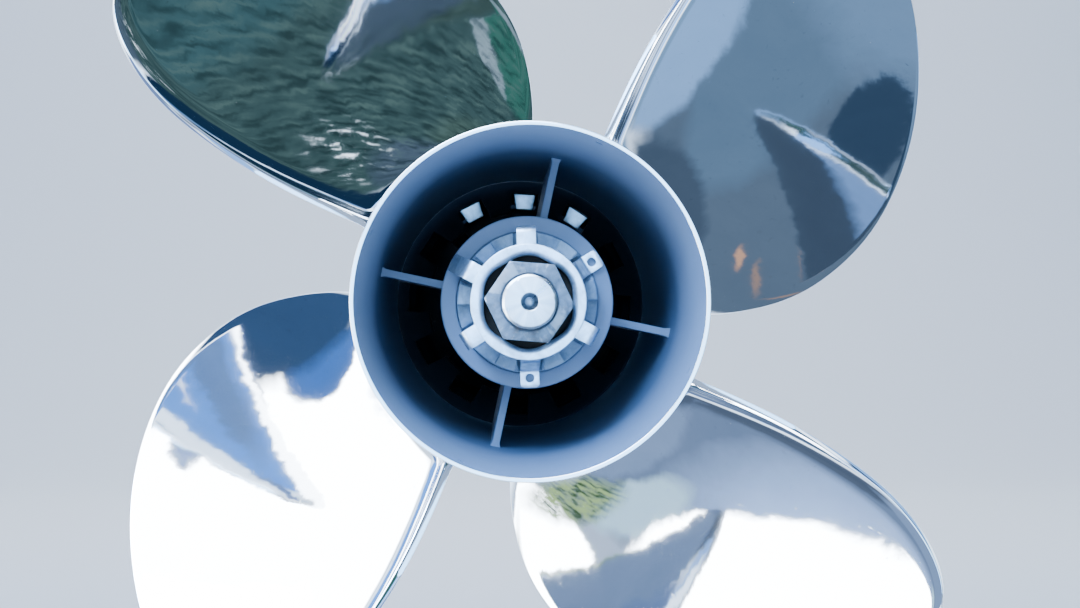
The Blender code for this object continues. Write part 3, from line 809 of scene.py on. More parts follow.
# Lock ring and ring nut
# A castellated ring nut, painted black, that is screwed into the drive's housing behind the carrier to keep
# it in, and the thin zinc-plated ring between them, whose three lugs stand in the nut's upper slots.
RING_NUT_SLOTS = 12
RING_NUT_BORE = 0.0368
RING_NUT_SLOT_ROOT = 0.0453
RING_NUT_SLOT_WIDTH = 0.0112
RING_NUT_SLOT_REACH = 0.016
RING_NUT_ANGLE = radians(57)
RING_NUT_PITCH = 0.002
RING_NUT_THREAD = 0.0012
RING_NUT_EASING = 0.0004
THREAD_LEAD_IN = 0.001
LUGS = 3
LUG_WIDTH = 0.0100
LUG_ROOT_WIDTH = 0.0060
LUG_STEP = radians(30)
LUG_END = 0.0392
LUG_OVERLAP = 0.001
LOCK_RING_BORE = 0.0461
LOCK_RING_ROUNDING = 0.0003
CUP_RIM_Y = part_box("tab_washer")[0].y
CUP_RADIUS = 0.0170
DIRT_BROWN = (0.020, 0.016, 0.014)
ZINC_BRIGHT = (0.62, 0.78, 0.94)
ZINC_DULL = (0.36, 0.45, 0.55)


def caked_dirt(tree, place):
    """Where rusty dirt has gathered, deep in the washer's cup around the nut."""
    x, y, z = coordinates(tree, place)
    inwards = (CUP_RADIUS - distance(x, z)) / 0.0008
    depth = (y - CUP_RIM_Y - 0.0012) / 0.0022
    return inwards.as_share() * depth.as_share()


def zinc_plate():
    """Zinc plating on sheet, bright where it was rubbed and dull in patches, with dirt deep in the cup."""
    made, tree, place = new_material("zinc-plated sheet", 0.85, 0.3)
    skin = use(tree, grain, Vector=place, Size=0.0004)
    dull = stain(tree, place, 0.005, 0.42, 0.45)
    rubbed = stain(tree, place, 0.0018, 0.30, 0.5)
    dirt = caked_dirt(tree, place)
    plated = blend(tree, (dull - rubbed * 0.5).as_share(), ZINC_BRIGHT, ZINC_DULL)
    return surfaced(
        made,
        skin["Height"] * 0.6 + dull * 0.4,
        0.00003,
        Base_Color=blend(tree, dirt, plated, DIRT_BROWN),
        Metallic=0.85 - dirt * 0.85,
        Roughness=dull * 0.10 + skin["Shade"] * 0.10 + dirt * 0.4 + 0.30,
    )


zinc_sheet = zinc_plate()
low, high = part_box("lock_ring")
roundings = (LOCK_RING_ROUNDING,) * 4
lock_ring = collar("lock_ring_sheet", high.x, LOCK_RING_BORE, (low.y, high.y), roundings, corner_steps=3)
lug_length = LOCK_RING_BORE + LUG_OVERLAP - LUG_END
lug = block(
    "lock_ring_lugs",
    (lug_length, high.y - low.y, LUG_WIDTH),
    (LUG_END + lug_length / 2, (low.y + high.y) / 2, 0),
    0.0004,
)
for vertex in lug.data.vertices:
    inwards = (high.x - vertex.co.x) / (high.x - RING_NUT_BORE)
    vertex.co.z *= 1 - (1 - LUG_ROOT_WIDTH / LUG_WIDTH) * inwards
combined(lock_ring, [ring_of(lug, LUGS, RING_NUT_ANGLE, LUG_STEP)], "UNION")
finished(lock_ring, zinc_sheet, "carrier", "lock_ring")

low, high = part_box("ring_nut")


def ring_nut_outline(angle):
    """The ring nut at an angle, with the thread outside that holds it in the drive's housing."""
    root = high.x - RING_NUT_THREAD
    corners = [
        (root, high.y - 0.0003),
        (RING_NUT_BORE, high.y, 0.0006),
        (RING_NUT_BORE, low.y, 0.0010),
        (root, low.y + 0.0003),
    ]
    points = rounded(corners, closed=False)
    for y in thread_rows(low.y, high.y, RING_NUT_PITCH):
        turns = ((y - low.y) / RING_NUT_PITCH + angle / TURN) % 1
        from_end = min(y - low.y, high.y - y) / THREAD_LEAD_IN
        points.append((root + RING_NUT_THREAD * min(1.6 * (1 - abs(2 * turns - 1)), 1, from_end), y))
    return points


ring_nut = turned("castellated_ring_nut", ring_nut_outline)
slot = block(
    "ring_nut_slots",
    (RING_NUT_SLOT_REACH, high.y - low.y + 0.004, RING_NUT_SLOT_WIDTH),
    (RING_NUT_SLOT_ROOT - RING_NUT_SLOT_REACH / 2, (low.y + high.y) / 2, 0),
    0.0006,
)
combined(ring_nut, [ring_of(slot, RING_NUT_SLOTS, RING_NUT_ANGLE)], "DIFFERENCE")
finished(ring_nut, cast_paint, "carrier", "ring_nut", RING_NUT_EASING)


# Thrust hub
# A tapered bronze washer that sits on the shaft's cone and takes the propeller's thrust against the inner
# hub. It is turned all over, and has gone brown in patches.
THRUST_HUB_RADIUS = 0.0245
THRUST_HUB_FRONT_RADIUS = 0.0205
THRUST_HUB_LAND = 0.0057
SHAFT_CLEARANCE = 0.0003
BRONZE_BRIGHT = (0.62, 0.40, 0.16)
BRONZE_BROWN = (0.16, 0.085, 0.035)


def turned_bronze():
    made, tree, place = new_material("turned bronze", 1.0, 0.35)
    rings = use(tree, tool_marks, Vector=place, Pitch=0.0003)["Height"]
    fine = use(tree, grain, Vector=place, Size=0.0006)
    tarnish = (stain(tree, place, 0.009, 0.5, 0.45) * 0.75 + fine["Shade"] * 0.25).as_share()
    return surfaced(
        made,
        rings * 0.7 + fine["Height"] * 0.3,
        0.00003,
        Base_Color=blend(tree, tarnish, BRONZE_BRIGHT, BRONZE_BROWN),
        Roughness=tarnish * 0.28 + 0.24,
    )


bronze = turned_bronze()
low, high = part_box("thrust_hub")
cone = (JOURNAL_RADIUS - SPLINE_RADIUS) / TAPER_LENGTH
thrust_hub = turned(
    "bronze_thrust_hub",
    [
        (THRUST_HUB_RADIUS, low.y, 0.0006),
        (THRUST_HUB_RADIUS, low.y + THRUST_HUB_LAND, 0.0004),
        (THRUST_HUB_FRONT_RADIUS, high.y, 0.0006),
        (SPLINE_RADIUS + SHAFT_CLEARANCE + cone * (high.y - TAPER_Y), high.y, 0.0004),
        (SPLINE_RADIUS + SHAFT_CLEARANCE + cone * (low.y - TAPER_Y), low.y, 0.0004),
    ],
)
finished(thrust_hub, bronze, "rotor", "thrust_hub")


# Splined core and drive sleeve
# A bronze core on the shaft's splines, moulded into a grey composite sleeve that gives when a blade hits
# something. The sleeve's aft end has slots for the tab washer, with raised pads beside its long tabs.
CORE_RADIUS = 0.0162
CORE_BORE = 0.0130
CORE_ROUNDING = 0.0005
SLEEVE_BORE = 0.0165
SLEEVE_RADIUS = 0.0251
SLEEVE_ROUNDINGS = (0.0006, 0.0008, 0.0008, 0.0006)
SLEEVE_EASING = 0.0003
SLEEVE_SLOTS = 6
SLEEVE_SLOT_SIZE = (0.012, 0.0088)
SLEEVE_SLOT_FLOOR = 0.0196
SLEEVE_SLOT_ROOT = 0.0042
SLEEVE_SHELF = 0.0037
LONG_TAB_ANGLE = radians(32)
PADS = 3
PAD_ANGLE = radians(21.5)
PAD_SPREAD = radians(18)
PAD_RADII = (0.0194, 0.0249)
PAD_SINK = 0.0004
PAD_ROUNDING = 0.0006
PAD_STEPS = 8
COMPOSITE_GREY = (0.185, 0.275, 0.400)
COMPOSITE_BEIGE = (0.44, 0.53, 0.60)
COMPOSITE_SOOT = (0.045, 0.045, 0.045)


def grey_composite(name, weathered):
    """Glass-filled plastic, grey where it is sound and beige where water and grease have bleached it."""
    made, tree, place = new_material(name, 0.0, 0.6)
    fibre = use(tree, grain, Vector=place, Size=0.0005)
    bleached = stain(tree, place, 0.012, weathered, 0.35)
    soot = stain(tree, place, 0.005, 0.30, 0.4)
    base = blend(tree, (bleached + fibre["Shade"] * 0.1).as_share(), COMPOSITE_GREY, COMPOSITE_BEIGE)
    return surfaced(
        made,
        fibre["Height"],
        0.00008,
        Base_Color=blend(tree, soot * 0.55, base, COMPOSITE_SOOT),
        Roughness=bleached * 0.15 + 0.48,
    )


sleeve_grey = grey_composite("grey composite", 0.35)
sleeve_beige = grey_composite("weathered composite", 0.85)

low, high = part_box("splined_core")
core = collar("bronze_splined_core", CORE_RADIUS, CORE_BORE, (low.y, high.y), (CORE_ROUNDING,) * 4)
finished(core, bronze, "rotor", "splined_core")

low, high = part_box("drive_sleeve")
shelf_y = low.y + SLEEVE_SHELF
sleeve = collar("composite_drive_sleeve", SLEEVE_RADIUS, SLEEVE_BORE, (shelf_y, high.y), SLEEVE_ROUNDINGS)
slot = block(
    "sleeve_slots",
    (SLEEVE_SLOT_SIZE[0], SLEEVE_SLOT_ROOT * 2 + 0.01, SLEEVE_SLOT_SIZE[1]),
    (SLEEVE_SLOT_FLOOR + SLEEVE_SLOT_SIZE[0] / 2, shelf_y - 0.005, 0),
    0.0008,
)
combined(sleeve, [ring_of(slot, SLEEVE_SLOTS, LONG_TAB_ANGLE)], "DIFFERENCE")
finished(sleeve, sleeve_grey, "rotor", "drive_sleeve", SLEEVE_EASING)


def sleeve_pad(name, ends):
    """A raised block that follows the sleeve it stands on, with its middle at angle 0."""
    inner, outer = PAD_RADII
    section = ((inner, ends[0]), (outer, ends[0]), (outer, ends[1]), (inner, ends[1]))
    angles = [PAD_SPREAD * (i / PAD_STEPS - 0.5) for i in range(PAD_STEPS + 1)]
    rings = [[(r * cos(angle), y, r * sin(angle)) for r, y in section] for angle in angles]
    return eased(lofted(name, rings), PAD_ROUNDING, segments=3)


for name, side, material in (("sleeve_pads_left", 1, sleeve_beige), ("sleeve_pads_right", -1, sleeve_grey)):
    raised = sleeve_pad(name, (low.y, shelf_y + PAD_SINK))
    pads = ring_of(raised, PADS, LONG_TAB_ANGLE + side * PAD_ANGLE, material=material)
    finished(pads, material, "rotor", "drive_sleeve")


# Propeller casting
# One investment casting in stainless steel: a flared barrel that the exhaust leaves through, four blades
# with cupped trailing edges, and an inner hub on four ribs. It is mirror-polished outside and satin inside.
RIM_Y = -0.2351
BARREL_LENGTH = 0.140
BARREL_RADIUS = 0.0574
BARREL_TAPER = 0.0018
BARREL_STEPS = 40
FLARE_RISE = 0.00365
FLARE_LENGTH = 0.040
RIM_LAND = 0.00150
RIM_ROUNDING = 0.00022
WALL_AT_FLARE = 0.0030
WALL_AT_FRONT = 0.0060
SATIN_FROM = 0.0008
HUB_DEPTH = 0.042
HUB_END_DEPTH = 0.125
HUB_RADIUS = 0.0309
HUB_FRONT_RADIUS = 0.0300
HUB_BORE = 0.0253
HUB_STEP_BORE = 0.0210
HUB_STEP_LENGTH = 0.010
RIBS = 4
RIB_ANGLE = radians(78)
RIB_HALF_THICKNESS = 0.0013
RIB_DEPTH = 0.058
RIB_FILLET = 0.0030
RIB_SPREAD = 0.7
RIB_ROUNDING = 0.0009
RIB_STEPS = 24
DIMPLE_ANGLE = radians(66.5)
DIMPLE_RADII = (0.0009, 0.0007, 0.0013)
DIMPLE_DEPTH = 0.0042
BLADES = 4
TIP_RADIUS = 0.1767
PITCH = 0.4826
RAKE = radians(22.5)
EDGE_ANGLE = radians(63.9)
EDGE_DEPTH = 0.0345
# A blade's middle and its width, in degrees of its screw surface, at even steps from its root to its tip.
MID_ANGLES = (34.0, 32.5, 29.5, 23.9, 15.5)
SPAN_ANGLES = (68.0, 77.6, 83.2, 83.1, 72.4)
TRAILING_THICKNESS = 0.0042
TRAILING_TIP_THICKNESS = 0.0030
LEADING_THICKNESS = 0.0012
ROOT_THICKNESS = 0.0105
TIP_THICKNESS = 0.0036
THIN_FROM = 0.625
THINNING_POWER = 0.8
EDGE_ROUND = 0.0006
CUP_WIDTH = 0.0090
CUP_DROP = 0.0024
ROOT_FILLET = 0.0085
FILLET_OUTWARDS = 0.6
ROOT_SINK = 0.00003
ROOT_SKIRT = 0.0011
ROOT_LETS_GO = 6.0
CHORD_STEPS = 48
CHORD_CROWDING = 1.6
SPAN_STEPS = 58
LAST_SHARE = 0.9999
FILLET_STEPS = 10
ARC_STEPS = 4
CURVE_SCALE = 0.001
STEEL_CLEAR = (0.78, 0.80, 0.83)
STEEL_SMUDGED = (0.66, 0.69, 0.73)
SPECK_GREY = (0.42, 0.42, 0.43)
# The satin inside: pale at the rim, painted shade further in, and soot and painted shade deepest in.
SATIN_PALE = (0.33, 0.39, 0.50)
SATIN_SHADE = (0.075, 0.125, 0.200)
SATIN_SOOT_AND_SHADE = (0.034, 0.088, 0.145)


def edge_arc(along, face, start, first):
    """The points that round one of a blade's edges, turning a quarter from a start in degrees."""
    angles = [radians(start - 90 * i / ARC_STEPS) for i in range(first, ARC_STEPS + first)]
    return [(along, face, cos(angle), sin(angle)) for angle in angles]


def blade_blank():
    """A blade laid flat. x is the share of its span, y that of its chord, and z its two faces, 0 and 1.

    Each point also carries its way outwards, across the chord and through the blade, to round the edges.
    """
    chord = [(i / CHORD_STEPS) ** CHORD_CROWDING for i in range(CHORD_STEPS + 1)]
    ring = [(along, 0, 0, -1) for along in reversed(chord)]
    ring += edge_arc(0, 0, -90, 1) + edge_arc(0, 1, 180, 0)
    ring += [(along, 1, 0, 1) for along in chord]
    ring += edge_arc(1, 1, 90, 1) + edge_arc(1, 0, 0, 0)

    span = TIP_RADIUS - BARREL_RADIUS
    turns = [pi / 2 * i / FILLET_STEPS for i in range(FILLET_STEPS + 1)]
    heights = [-ROOT_SKIRT] + [ROOT_FILLET * (1 - cos(turn)) - ROOT_SINK for turn in turns]
    first = ROOT_FILLET / span
    shares = [height / span for height in heights]
    shares += [first + (1 - first) * sin(pi / 2 * i / SPAN_STEPS) for i in range(1, SPAN_STEPS)]
    shares.append(LAST_SHARE)
    points = [(share, along, face) for share in shares for along, face, _, _ in ring]
    outward = [(a, b, 0) for _ in shares for _, _, a, b in ring]
    faces = []
    count = len(ring)
    for row in range(len(shares) - 1):
        for i in range(count):
            j = (i + 1) % count
            low = row * count
            faces.append((low + i, low + j, low + count + j, low + count + i))
    across = count - 2 * ARC_STEPS - 1
    for low in (0, (len(shares) - 1) * count):
        for i in range(-ARC_STEPS, count // 2 - 1 - ARC_STEPS):
            faces.append([low + corner % count for corner in (i, i + 1, across - i - 1, across - i)])
    mesh = bpy.data.meshes.new("blade blank")
    mesh.from_pydata(points, [], faces)
    way = mesh.attributes.new("outward", "FLOAT_VECTOR", "POINT")
    for item, value in zip(way.data, outward):
        item.vector = value
    uv = mesh.uv_layers.new(name="UVMap")
    for loop in mesh.loops:
        share, along, _ = points[loop.vertex_index]
        uv.uv[loop.index].vector = (along, share)
    return placed("polished_blades", mesh)


def curve_through(tree, values, share):
    """A smooth curve through evenly spaced values, read at a share of its length.

    The values are held small, since the curve's handles only stay even where it rises less than it runs.
    """
    node = add_node(tree, "ShaderNodeFloatCurve", Value=share)
    points = node.mapping.curves[0].points
    node.mapping.use_clip = False
    last = len(values) - 1
    for i, value in enumerate(values):
        place = (i / last, value * CURVE_SCALE)
        if i == 0:
            points[0].location = place
        elif i == last:
            points[-1].location = place
        else:
            points.new(*place)
    node.mapping.update()
    return Value(tree, node.outputs[0]) / CURVE_SCALE


BLADE_SIZES = {
    "Pitch": PITCH,
    "Rake": RAKE,
    "Tip Radius": TIP_RADIUS,
    "Edge Angle": EDGE_ANGLE,
    "Edge Depth": EDGE_DEPTH,
    "Root Thickness": ROOT_THICKNESS,
    "Cup Width": CUP_WIDTH,
    "Cup Drop": CUP_DROP,
    "Root Fillet": ROOT_FILLET,
}


def blades_tree():
    """Lays a blade blank on its screw surface, and copies it around the barrel."""
    sizes = dict.fromkeys(BLADE_SIZES, "Float")
    tree, given, end = new_tree(
        "blades on a screw surface",
        "GeometryNodeTree",
        {"Blank": "Geometry", "Blades": "Int", **sizes, "Material": "Material"},
        {"Blades": "Geometry"},
    )
    place = add_node(tree, "GeometryNodeInputPosition").outputs[0]
    share, along, face = coordinates(tree, place)
    way = add_node(tree, "GeometryNodeInputNamedAttribute", {"data_type": "FLOAT_VECTOR"}, Name="outward")
    across, through, _ = coordinates(tree, way.outputs[0])
    upper = share.as_share()

    span = curve_through(tree, SPAN_ANGLES, upper).math("RADIANS") * (1.0 - upper).math("SQRT")
    turn = curve_through(tree, MID_ANGLES, upper).math("RADIANS") - span * 0.5 + span * along
    height = share * (given["Tip Radius"] - BARREL_RADIUS)
    radius = height + BARREL_RADIUS
    slope = given["Pitch"].math("ARCTAN2", radius * TURN)
    rise = slope.math("SINE")
    run = slope.math("COSINE")
    depth = given["Edge Depth"] + given["Pitch"] * turn / TURN - height * given["Rake"].math("TANGENT")

    from_edge = along * span * radius / run
    cup = given["Cup Drop"] * (1.0 - from_edge / given["Cup Width"]).at_least(0.0) ** 2.0
    edge = upper * (TRAILING_TIP_THICKNESS - TRAILING_THICKNESS) + TRAILING_THICKNESS
    edge = edge + (LEADING_THICKNESS - edge) * along
    thinned = (upper / THIN_FROM).at_most(1.0) ** THINNING_POWER
    thickness = given["Root Thickness"] + (TIP_THICKNESS - given["Root Thickness"]) * thinned
    bulge = (thickness - edge).at_least(0.0) * 4.0 * along * (1.0 - along)

    fillet_size = given["Root Fillet"]
    risen = (height + ROOT_SINK).at_least(0.0).at_most(fillet_size)
    fillet = fillet_size - (risen * (fillet_size * 2.0 - risen)).at_least(0.0).math("SQRT")
    chordwise = (1.0 - along * 2.0) * EDGE_ROUND + across * (fillet * FILLET_OUTWARDS + EDGE_ROUND)
    inside = edge + bulge - 2 * EDGE_ROUND
    offset = face * inside + EDGE_ROUND - cup + through * (fillet + EDGE_ROUND)

    forward = depth + rise * chordwise + run * offset
    flare = (1.0 - forward / FLARE_LENGTH).at_least(0.0) ** 2.0 * FLARE_RISE
    past_flare = (forward - FLARE_LENGTH).at_least(0.0) / (BARREL_LENGTH - FLARE_LENGTH)
    taper = past_flare ** 2.0 * BARREL_TAPER
    on_barrel = radius + (flare - taper) * (1.0 - upper * ROOT_LETS_GO).at_least(0.0)
    swing = (rise * offset - run * chordwise) / radius
    angle = given["Edge Angle"] - turn + swing
    x = on_barrel * angle.math("COSINE")
    z = on_barrel * angle.math("SINE")
    laid = vector_of(tree, X=x, Y=forward + RIM_Y, Z=z)
    shaped = add_node(tree, "GeometryNodeSetPosition", Geometry=given["Blank"], Position=laid).outputs[0]

    def turn_for(number):
        return number * -TURN / given["Blades"]

    blades = copies_about_line(tree, shaped, given["Blades"], turn_for, given["Material"])
    feed(tree, end, Blades=blades)
    return tree


def polished(name, streaked_by_uv):
    """Mirror-polished stainless steel, slightly wavy from hand polishing, with fine streaks and smudges."""
    made, tree, place = new_material(name, 1.0, 0.06)
    waves = noise(tree, place, 62.0, 2.0, Roughness=0.45)
    ripples = noise(tree, place, 240.0, 2.0, Roughness=0.5)
    if streaked_by_uv:
        uv = add_node(tree, "ShaderNodeUVMap", {"uv_map": "UVMap"}).outputs[0]
        across, spanwise, _ = coordinates(tree, uv)
        streaks = noise(tree, vector_of(tree, X=across * 340.0, Y=spanwise * 9.0), 1.0, 3.0)
    else:
        streaks = use(tree, tool_marks, Vector=place, Pitch=0.0009)["Height"]
    smudges = stain(tree, place, 0.035, 0.42, 0.5)
    specks = stain(tree, place, 0.0022, 0.06, 0.12)
    clean = blend(tree, smudges, STEEL_CLEAR, STEEL_SMUDGED)
    return surfaced(
        made,
        waves + ripples * 0.09 + streaks * 0.010,
        0.00009,
        Base_Color=blend(tree, specks * 0.5, clean, SPECK_GREY),
        Roughness=smudges * 0.035 + streaks * 0.03 + specks * 0.15 + 0.015,
    )


def satin_steel(name, shade_at_rim, shade_growth, soot_and_shade_depth):
    """The same steel as it was blasted: matt and pale, with painted shade further in, and soot and shade
    deepest.
    """
    made, tree, place = new_material(name, 0.0, 0.6)
    skin = use(tree, grain, Vector=place, Size=0.0005)
    soot = stain(tree, place, 0.018, 0.40, 0.45)
    # Darker and bluer with depth into the barrel as painted shade, and deepest in as soot and painted shade.
    depth = coordinates(tree, place)[1] - RIM_Y + (soot - 0.4) * 0.006
    shaded = blend(tree, (depth * shade_growth + shade_at_rim).as_share(), SATIN_PALE, SATIN_SHADE)
    sooted_and_shaded = ((depth - soot_and_shade_depth) / 0.10).as_share()
    return surfaced(
        made,
        skin["Height"],
        0.00006,
        Base_Color=blend(tree, sooted_and_shaded, shaded, SATIN_SOOT_AND_SHADE),
        Roughness=sooted_and_shaded * 0.15 + 0.55,
        Specular_IOR_Level=0.25,
    )


mirror_steel = polished("polished steel blades", True)
turned_mirror_steel = polished("polished steel barrel", False)
# How fast the painted shade deepens inwards, and where the soot and painted shade begin.
barrel_satin = satin_steel("satin steel barrel", 0.0, 20.0, 0.058)
hub_satin = satin_steel("satin steel hub", 0.04, 3.5, 0.085)


def faced_outwards(piece):
    """Turns the faces of a finished mesh outwards, without losing its UV map."""
    shape = bmesh.new()
    shape.from_mesh(piece.data)
    bmesh.ops.recalc_face_normals(shape, faces=shape.faces)
    shape.to_mesh(piece.data)
    shape.free()


blades = run_tree(blade_blank(), blades_tree(), {"Blades": BLADES, "Material": mirror_steel, **BLADE_SIZES})
faced_outwards(blades)
finished(blades, mirror_steel, "rotor", "propeller_casting")


def barrel_outside(depth):
    """The barrel's outer radius: nearly straight, and flared towards the rim."""
    if depth < FLARE_LENGTH:
        return BARREL_RADIUS + FLARE_RISE * (1 - depth / FLARE_LENGTH) ** 2
    return BARREL_RADIUS - BARREL_TAPER * ((depth - FLARE_LENGTH) / (BARREL_LENGTH - FLARE_LENGTH)) ** 2


def barrel_inside(depth):
    """The barrel's inner radius. Its wall is thin at the rim and thickens forward."""
    if depth < FLARE_LENGTH:
        wall = RIM_LAND + (WALL_AT_FLARE - RIM_LAND) * depth / FLARE_LENGTH
    else:
        share = (depth - FLARE_LENGTH) / (BARREL_LENGTH - FLARE_LENGTH)
        wall = WALL_AT_FLARE + (WALL_AT_FRONT - WALL_AT_FLARE) * share
    return barrel_outside(depth) - wall


depths = [BARREL_LENGTH * i / BARREL_STEPS for i in range(1, BARREL_STEPS)]
barrel = turned(
    "polished_barrel",
    [
        (barrel_outside(0), RIM_Y, RIM_ROUNDING),
        *[(barrel_outside(depth), RIM_Y + depth) for depth in depths],
        (barrel_outside(BARREL_LENGTH), RIM_Y + BARREL_LENGTH, 0.0008),
        (barrel_inside(BARREL_LENGTH), RIM_Y + BARREL_LENGTH, 0.0015),
        *[(barrel_inside(depth), RIM_Y + depth) for depth in reversed(depths)],
        (barrel_inside(0), RIM_Y, RIM_ROUNDING),
    ],
    steps=192,
)
dimple_place = (barrel_inside(DIMPLE_DEPTH) + 0.0002, RIM_Y + DIMPLE_DEPTH, 0)
dimple = ball_or_oval("barrel_dimples", DIMPLE_RADII, dimple_place)
combined(barrel, [ring_of(dimple, BLADES, DIMPLE_ANGLE)], "DIFFERENCE")
finished(barrel, turned_mirror_steel, "rotor", "propeller_casting")
barrel.data.materials.append(barrel_satin)
for face in barrel.data.polygons:
    from_line = Vector((face.center.x, 0, face.center.z)).length
    is_inside = from_line < barrel_outside(face.center.y - RIM_Y) - SATIN_FROM
    face.material_index = int(is_inside and face.center.y > RIM_Y + RIM_ROUNDING)

hub_low = RIM_Y + HUB_DEPTH
hub_high = RIM_Y + HUB_END_DEPTH
hub = turned(
    "satin_inner_hub",
    [
        (HUB_RADIUS, hub_low, 0.0007),
        (HUB_FRONT_RADIUS, hub_high, 0.0015),
        (HUB_STEP_BORE, hub_high, 0.0006),
        (HUB_STEP_BORE, hub_high - HUB_STEP_LENGTH, 0.0003),
        (HUB_BORE, hub_high - HUB_STEP_LENGTH),
        (HUB_BORE, hub_low, 0.0007),
    ],
)
finished(hub, hub_satin, "rotor", "propeller_casting")


def rib_blank():
    """A rib between the hub and the barrel, with its thickness swept out in a fillet at both ends."""
    inner = HUB_FRONT_RADIUS - 0.0008
    outer = barrel_inside(RIB_DEPTH) + 0.0009
    rings = []
    for i in range(RIB_STEPS + 1):
        share = 0.5 - 0.5 * cos(pi * i / RIB_STEPS)
        radius = inner + (outer - inner) * share
        near = min(min(radius - inner, outer - radius) / RIB_FILLET, 1)
        half = RIB_HALF_THICKNESS + RIB_FILLET * RIB_SPREAD * (1 - sqrt(near * (2 - near)))
        corners = ((-half, RIB_DEPTH), (half, RIB_DEPTH), (half, HUB_END_DEPTH), (-half, HUB_END_DEPTH))
        rings.append([(radius, RIM_Y + depth, side) for side, depth in corners])
    return eased(lofted("satin_ribs", rings), RIB_ROUNDING, segments=4, sharpest=60)


ribs = ring_of(rib_blank(), RIBS, RIB_ANGLE, material=hub_satin)
finished(ribs, hub_satin, "rotor", "propeller_casting")


# Tab washer
# A zinc-plated sheet-metal cup that the locknut sits in. Its six tabs go through the sleeve's slots. The
# three long ones, with a hole, are bent down on the inner hub to lock the nut, and the short ones stand out.
WASHER_SHEET = 0.0018
WASHER_RIM_Y = RIM_Y + 0.0240
WASHER_SEAT_Y = RIM_Y + 0.0313
WASHER_RADIUS = 0.0205
WASHER_ROLL = 0.0021
WASHER_EASING = 0.00025
WELL_RADIUS = 0.01600
WELL_LOBE = 0.00040
WELL_LOBE_ANGLE = radians(30)
WASHER_BORE = 0.00975
TABS_OF_A_KIND = 3
TAB_HALF_WIDTH = 0.00335
TAB_CORNER = 0.0011
SHORT_TAB_CORNER = 0.00077
TAB_STEP = 0.0006
TAB_HOLE_RADIUS = 0.0016
TAB_HOLE_REACH = 0.006
TAB_START = (WASHER_RADIUS - 0.0022, WASHER_RIM_Y)
FOOT_Y = RIM_Y + HUB_DEPTH - WASHER_SHEET - 0.0003
LONG_TAB_RADIUS = 0.0304
SHORT_TAB_ANGLE = radians(92)
SHORT_TAB_RADIUS = 0.0268
BENT_PATH = (
    TAB_START,
    (WASHER_RADIUS + 0.0004, WASHER_RIM_Y, 0.0027),
    (HUB_BORE - 0.0010, FOOT_Y, 0.0010),
    (LONG_TAB_RADIUS, FOOT_Y),
)
LIFTED_PATH = (
    TAB_START,
    (WASHER_RADIUS + 0.0042, WASHER_RIM_Y + 0.0003, 0.0030),
    (LONG_TAB_RADIUS, FOOT_Y - 0.0012),
)
SHORT_PATH = (
    TAB_START,
    (SHORT_TAB_RADIUS - 0.0010, WASHER_RIM_Y + 0.0002, 0.0024),
    (SHORT_TAB_RADIUS, WASHER_RIM_Y + 0.0026),
)


def washer_outline(angle):
    """The washer's cup at an angle. Its well is a soft hexagon, rolled over into the flat rim."""
    well = WELL_RADIUS + WELL_LOBE * cos(6 * (angle - WELL_LOBE_ANGLE))
    corners = [
        (WASHER_RADIUS, WASHER_RIM_Y, 0.0005),
        (WASHER_RADIUS, WASHER_RIM_Y + WASHER_SHEET, 0.0005),
        (well + WASHER_SHEET, WASHER_RIM_Y + WASHER_SHEET, 0.0006),
        (well + WASHER_SHEET, WASHER_SEAT_Y + WASHER_SHEET, 0.0012),
        (WASHER_BORE, WASHER_SEAT_Y + WASHER_SHEET, 0.0002),
        (WASHER_BORE, WASHER_SEAT_Y, 0.0002),
        (well, WASHER_SEAT_Y, 0.0006),
        (well, WASHER_RIM_Y, WASHER_ROLL),
    ]
    return rounded(corners, steps=8)


def bent_tab(name, path, corner):
    """A strip of sheet along a path of (radius, y) points on its aft face, with its far corners rounded."""
    line = rounded(path, steps=6, closed=False)
    stations = []
    for start, stop in zip(line, line[1:]):
        parts = max(1, round((stop - start).length / TAB_STEP))
        stations += [start.lerp(stop, i / parts) for i in range(parts)]
    stations.append(line[-1])
    travel = [0.0]
    for start, stop in zip(stations, stations[1:]):
        travel.append(travel[-1] + (stop - start).length)
    rings = []
    for i, point in enumerate(stations):
        ahead = (stations[min(i + 1, len(stations) - 1)] - stations[max(i - 1, 0)]).normalized()
        thickness = Vector((-ahead.y, ahead.x)) * WASHER_SHEET
        left = travel[-1] - travel[i]
        half = TAB_HALF_WIDTH
        if left < corner:
            half -= corner - sqrt(max(corner**2 - (corner - left) ** 2, 0))
        places = ((-half, point), (half, point), (half, point + thickness), (-half, point + thickness))
        rings.append([(r, y, side) for side, (r, y) in places])
    return lofted(name, rings)


def turned_to(piece, angle):
    """Turns a piece about the shaft line, with its place kept in its mesh."""
    piece.data.transform(Matrix.Rotation(-angle, 4, "Y"))
    return piece


washer = turned("folded_tab_washer", washer_outline, steps=180)
hole_x = LONG_TAB_RADIUS - TAB_HALF_WIDTH
hole_ends = ((hole_x, FOOT_Y - TAB_HOLE_REACH, 0), (hole_x, FOOT_Y + TAB_HOLE_REACH, 0))
long_tabs = []
short_tabs = []
holes = []
for i, path in enumerate((BENT_PATH, LIFTED_PATH, BENT_PATH)):
    angle = TURN * i / TABS_OF_A_KIND
    long_tabs.append(turned_to(bent_tab("long_tab", path, TAB_CORNER), LONG_TAB_ANGLE + angle))
    holes.append(turned_to(rod("tab_hole", TAB_HOLE_RADIUS, *hole_ends), LONG_TAB_ANGLE + angle))
    short_tab = bent_tab("short_tab", SHORT_PATH, SHORT_TAB_CORNER)
    short_tabs.append(turned_to(short_tab, SHORT_TAB_ANGLE + angle))
combined(washer, long_tabs + short_tabs, "UNION")
combined(washer, holes, "DIFFERENCE")
finished(washer, zinc_sheet, "rotor", "tab_washer", WASHER_EASING)


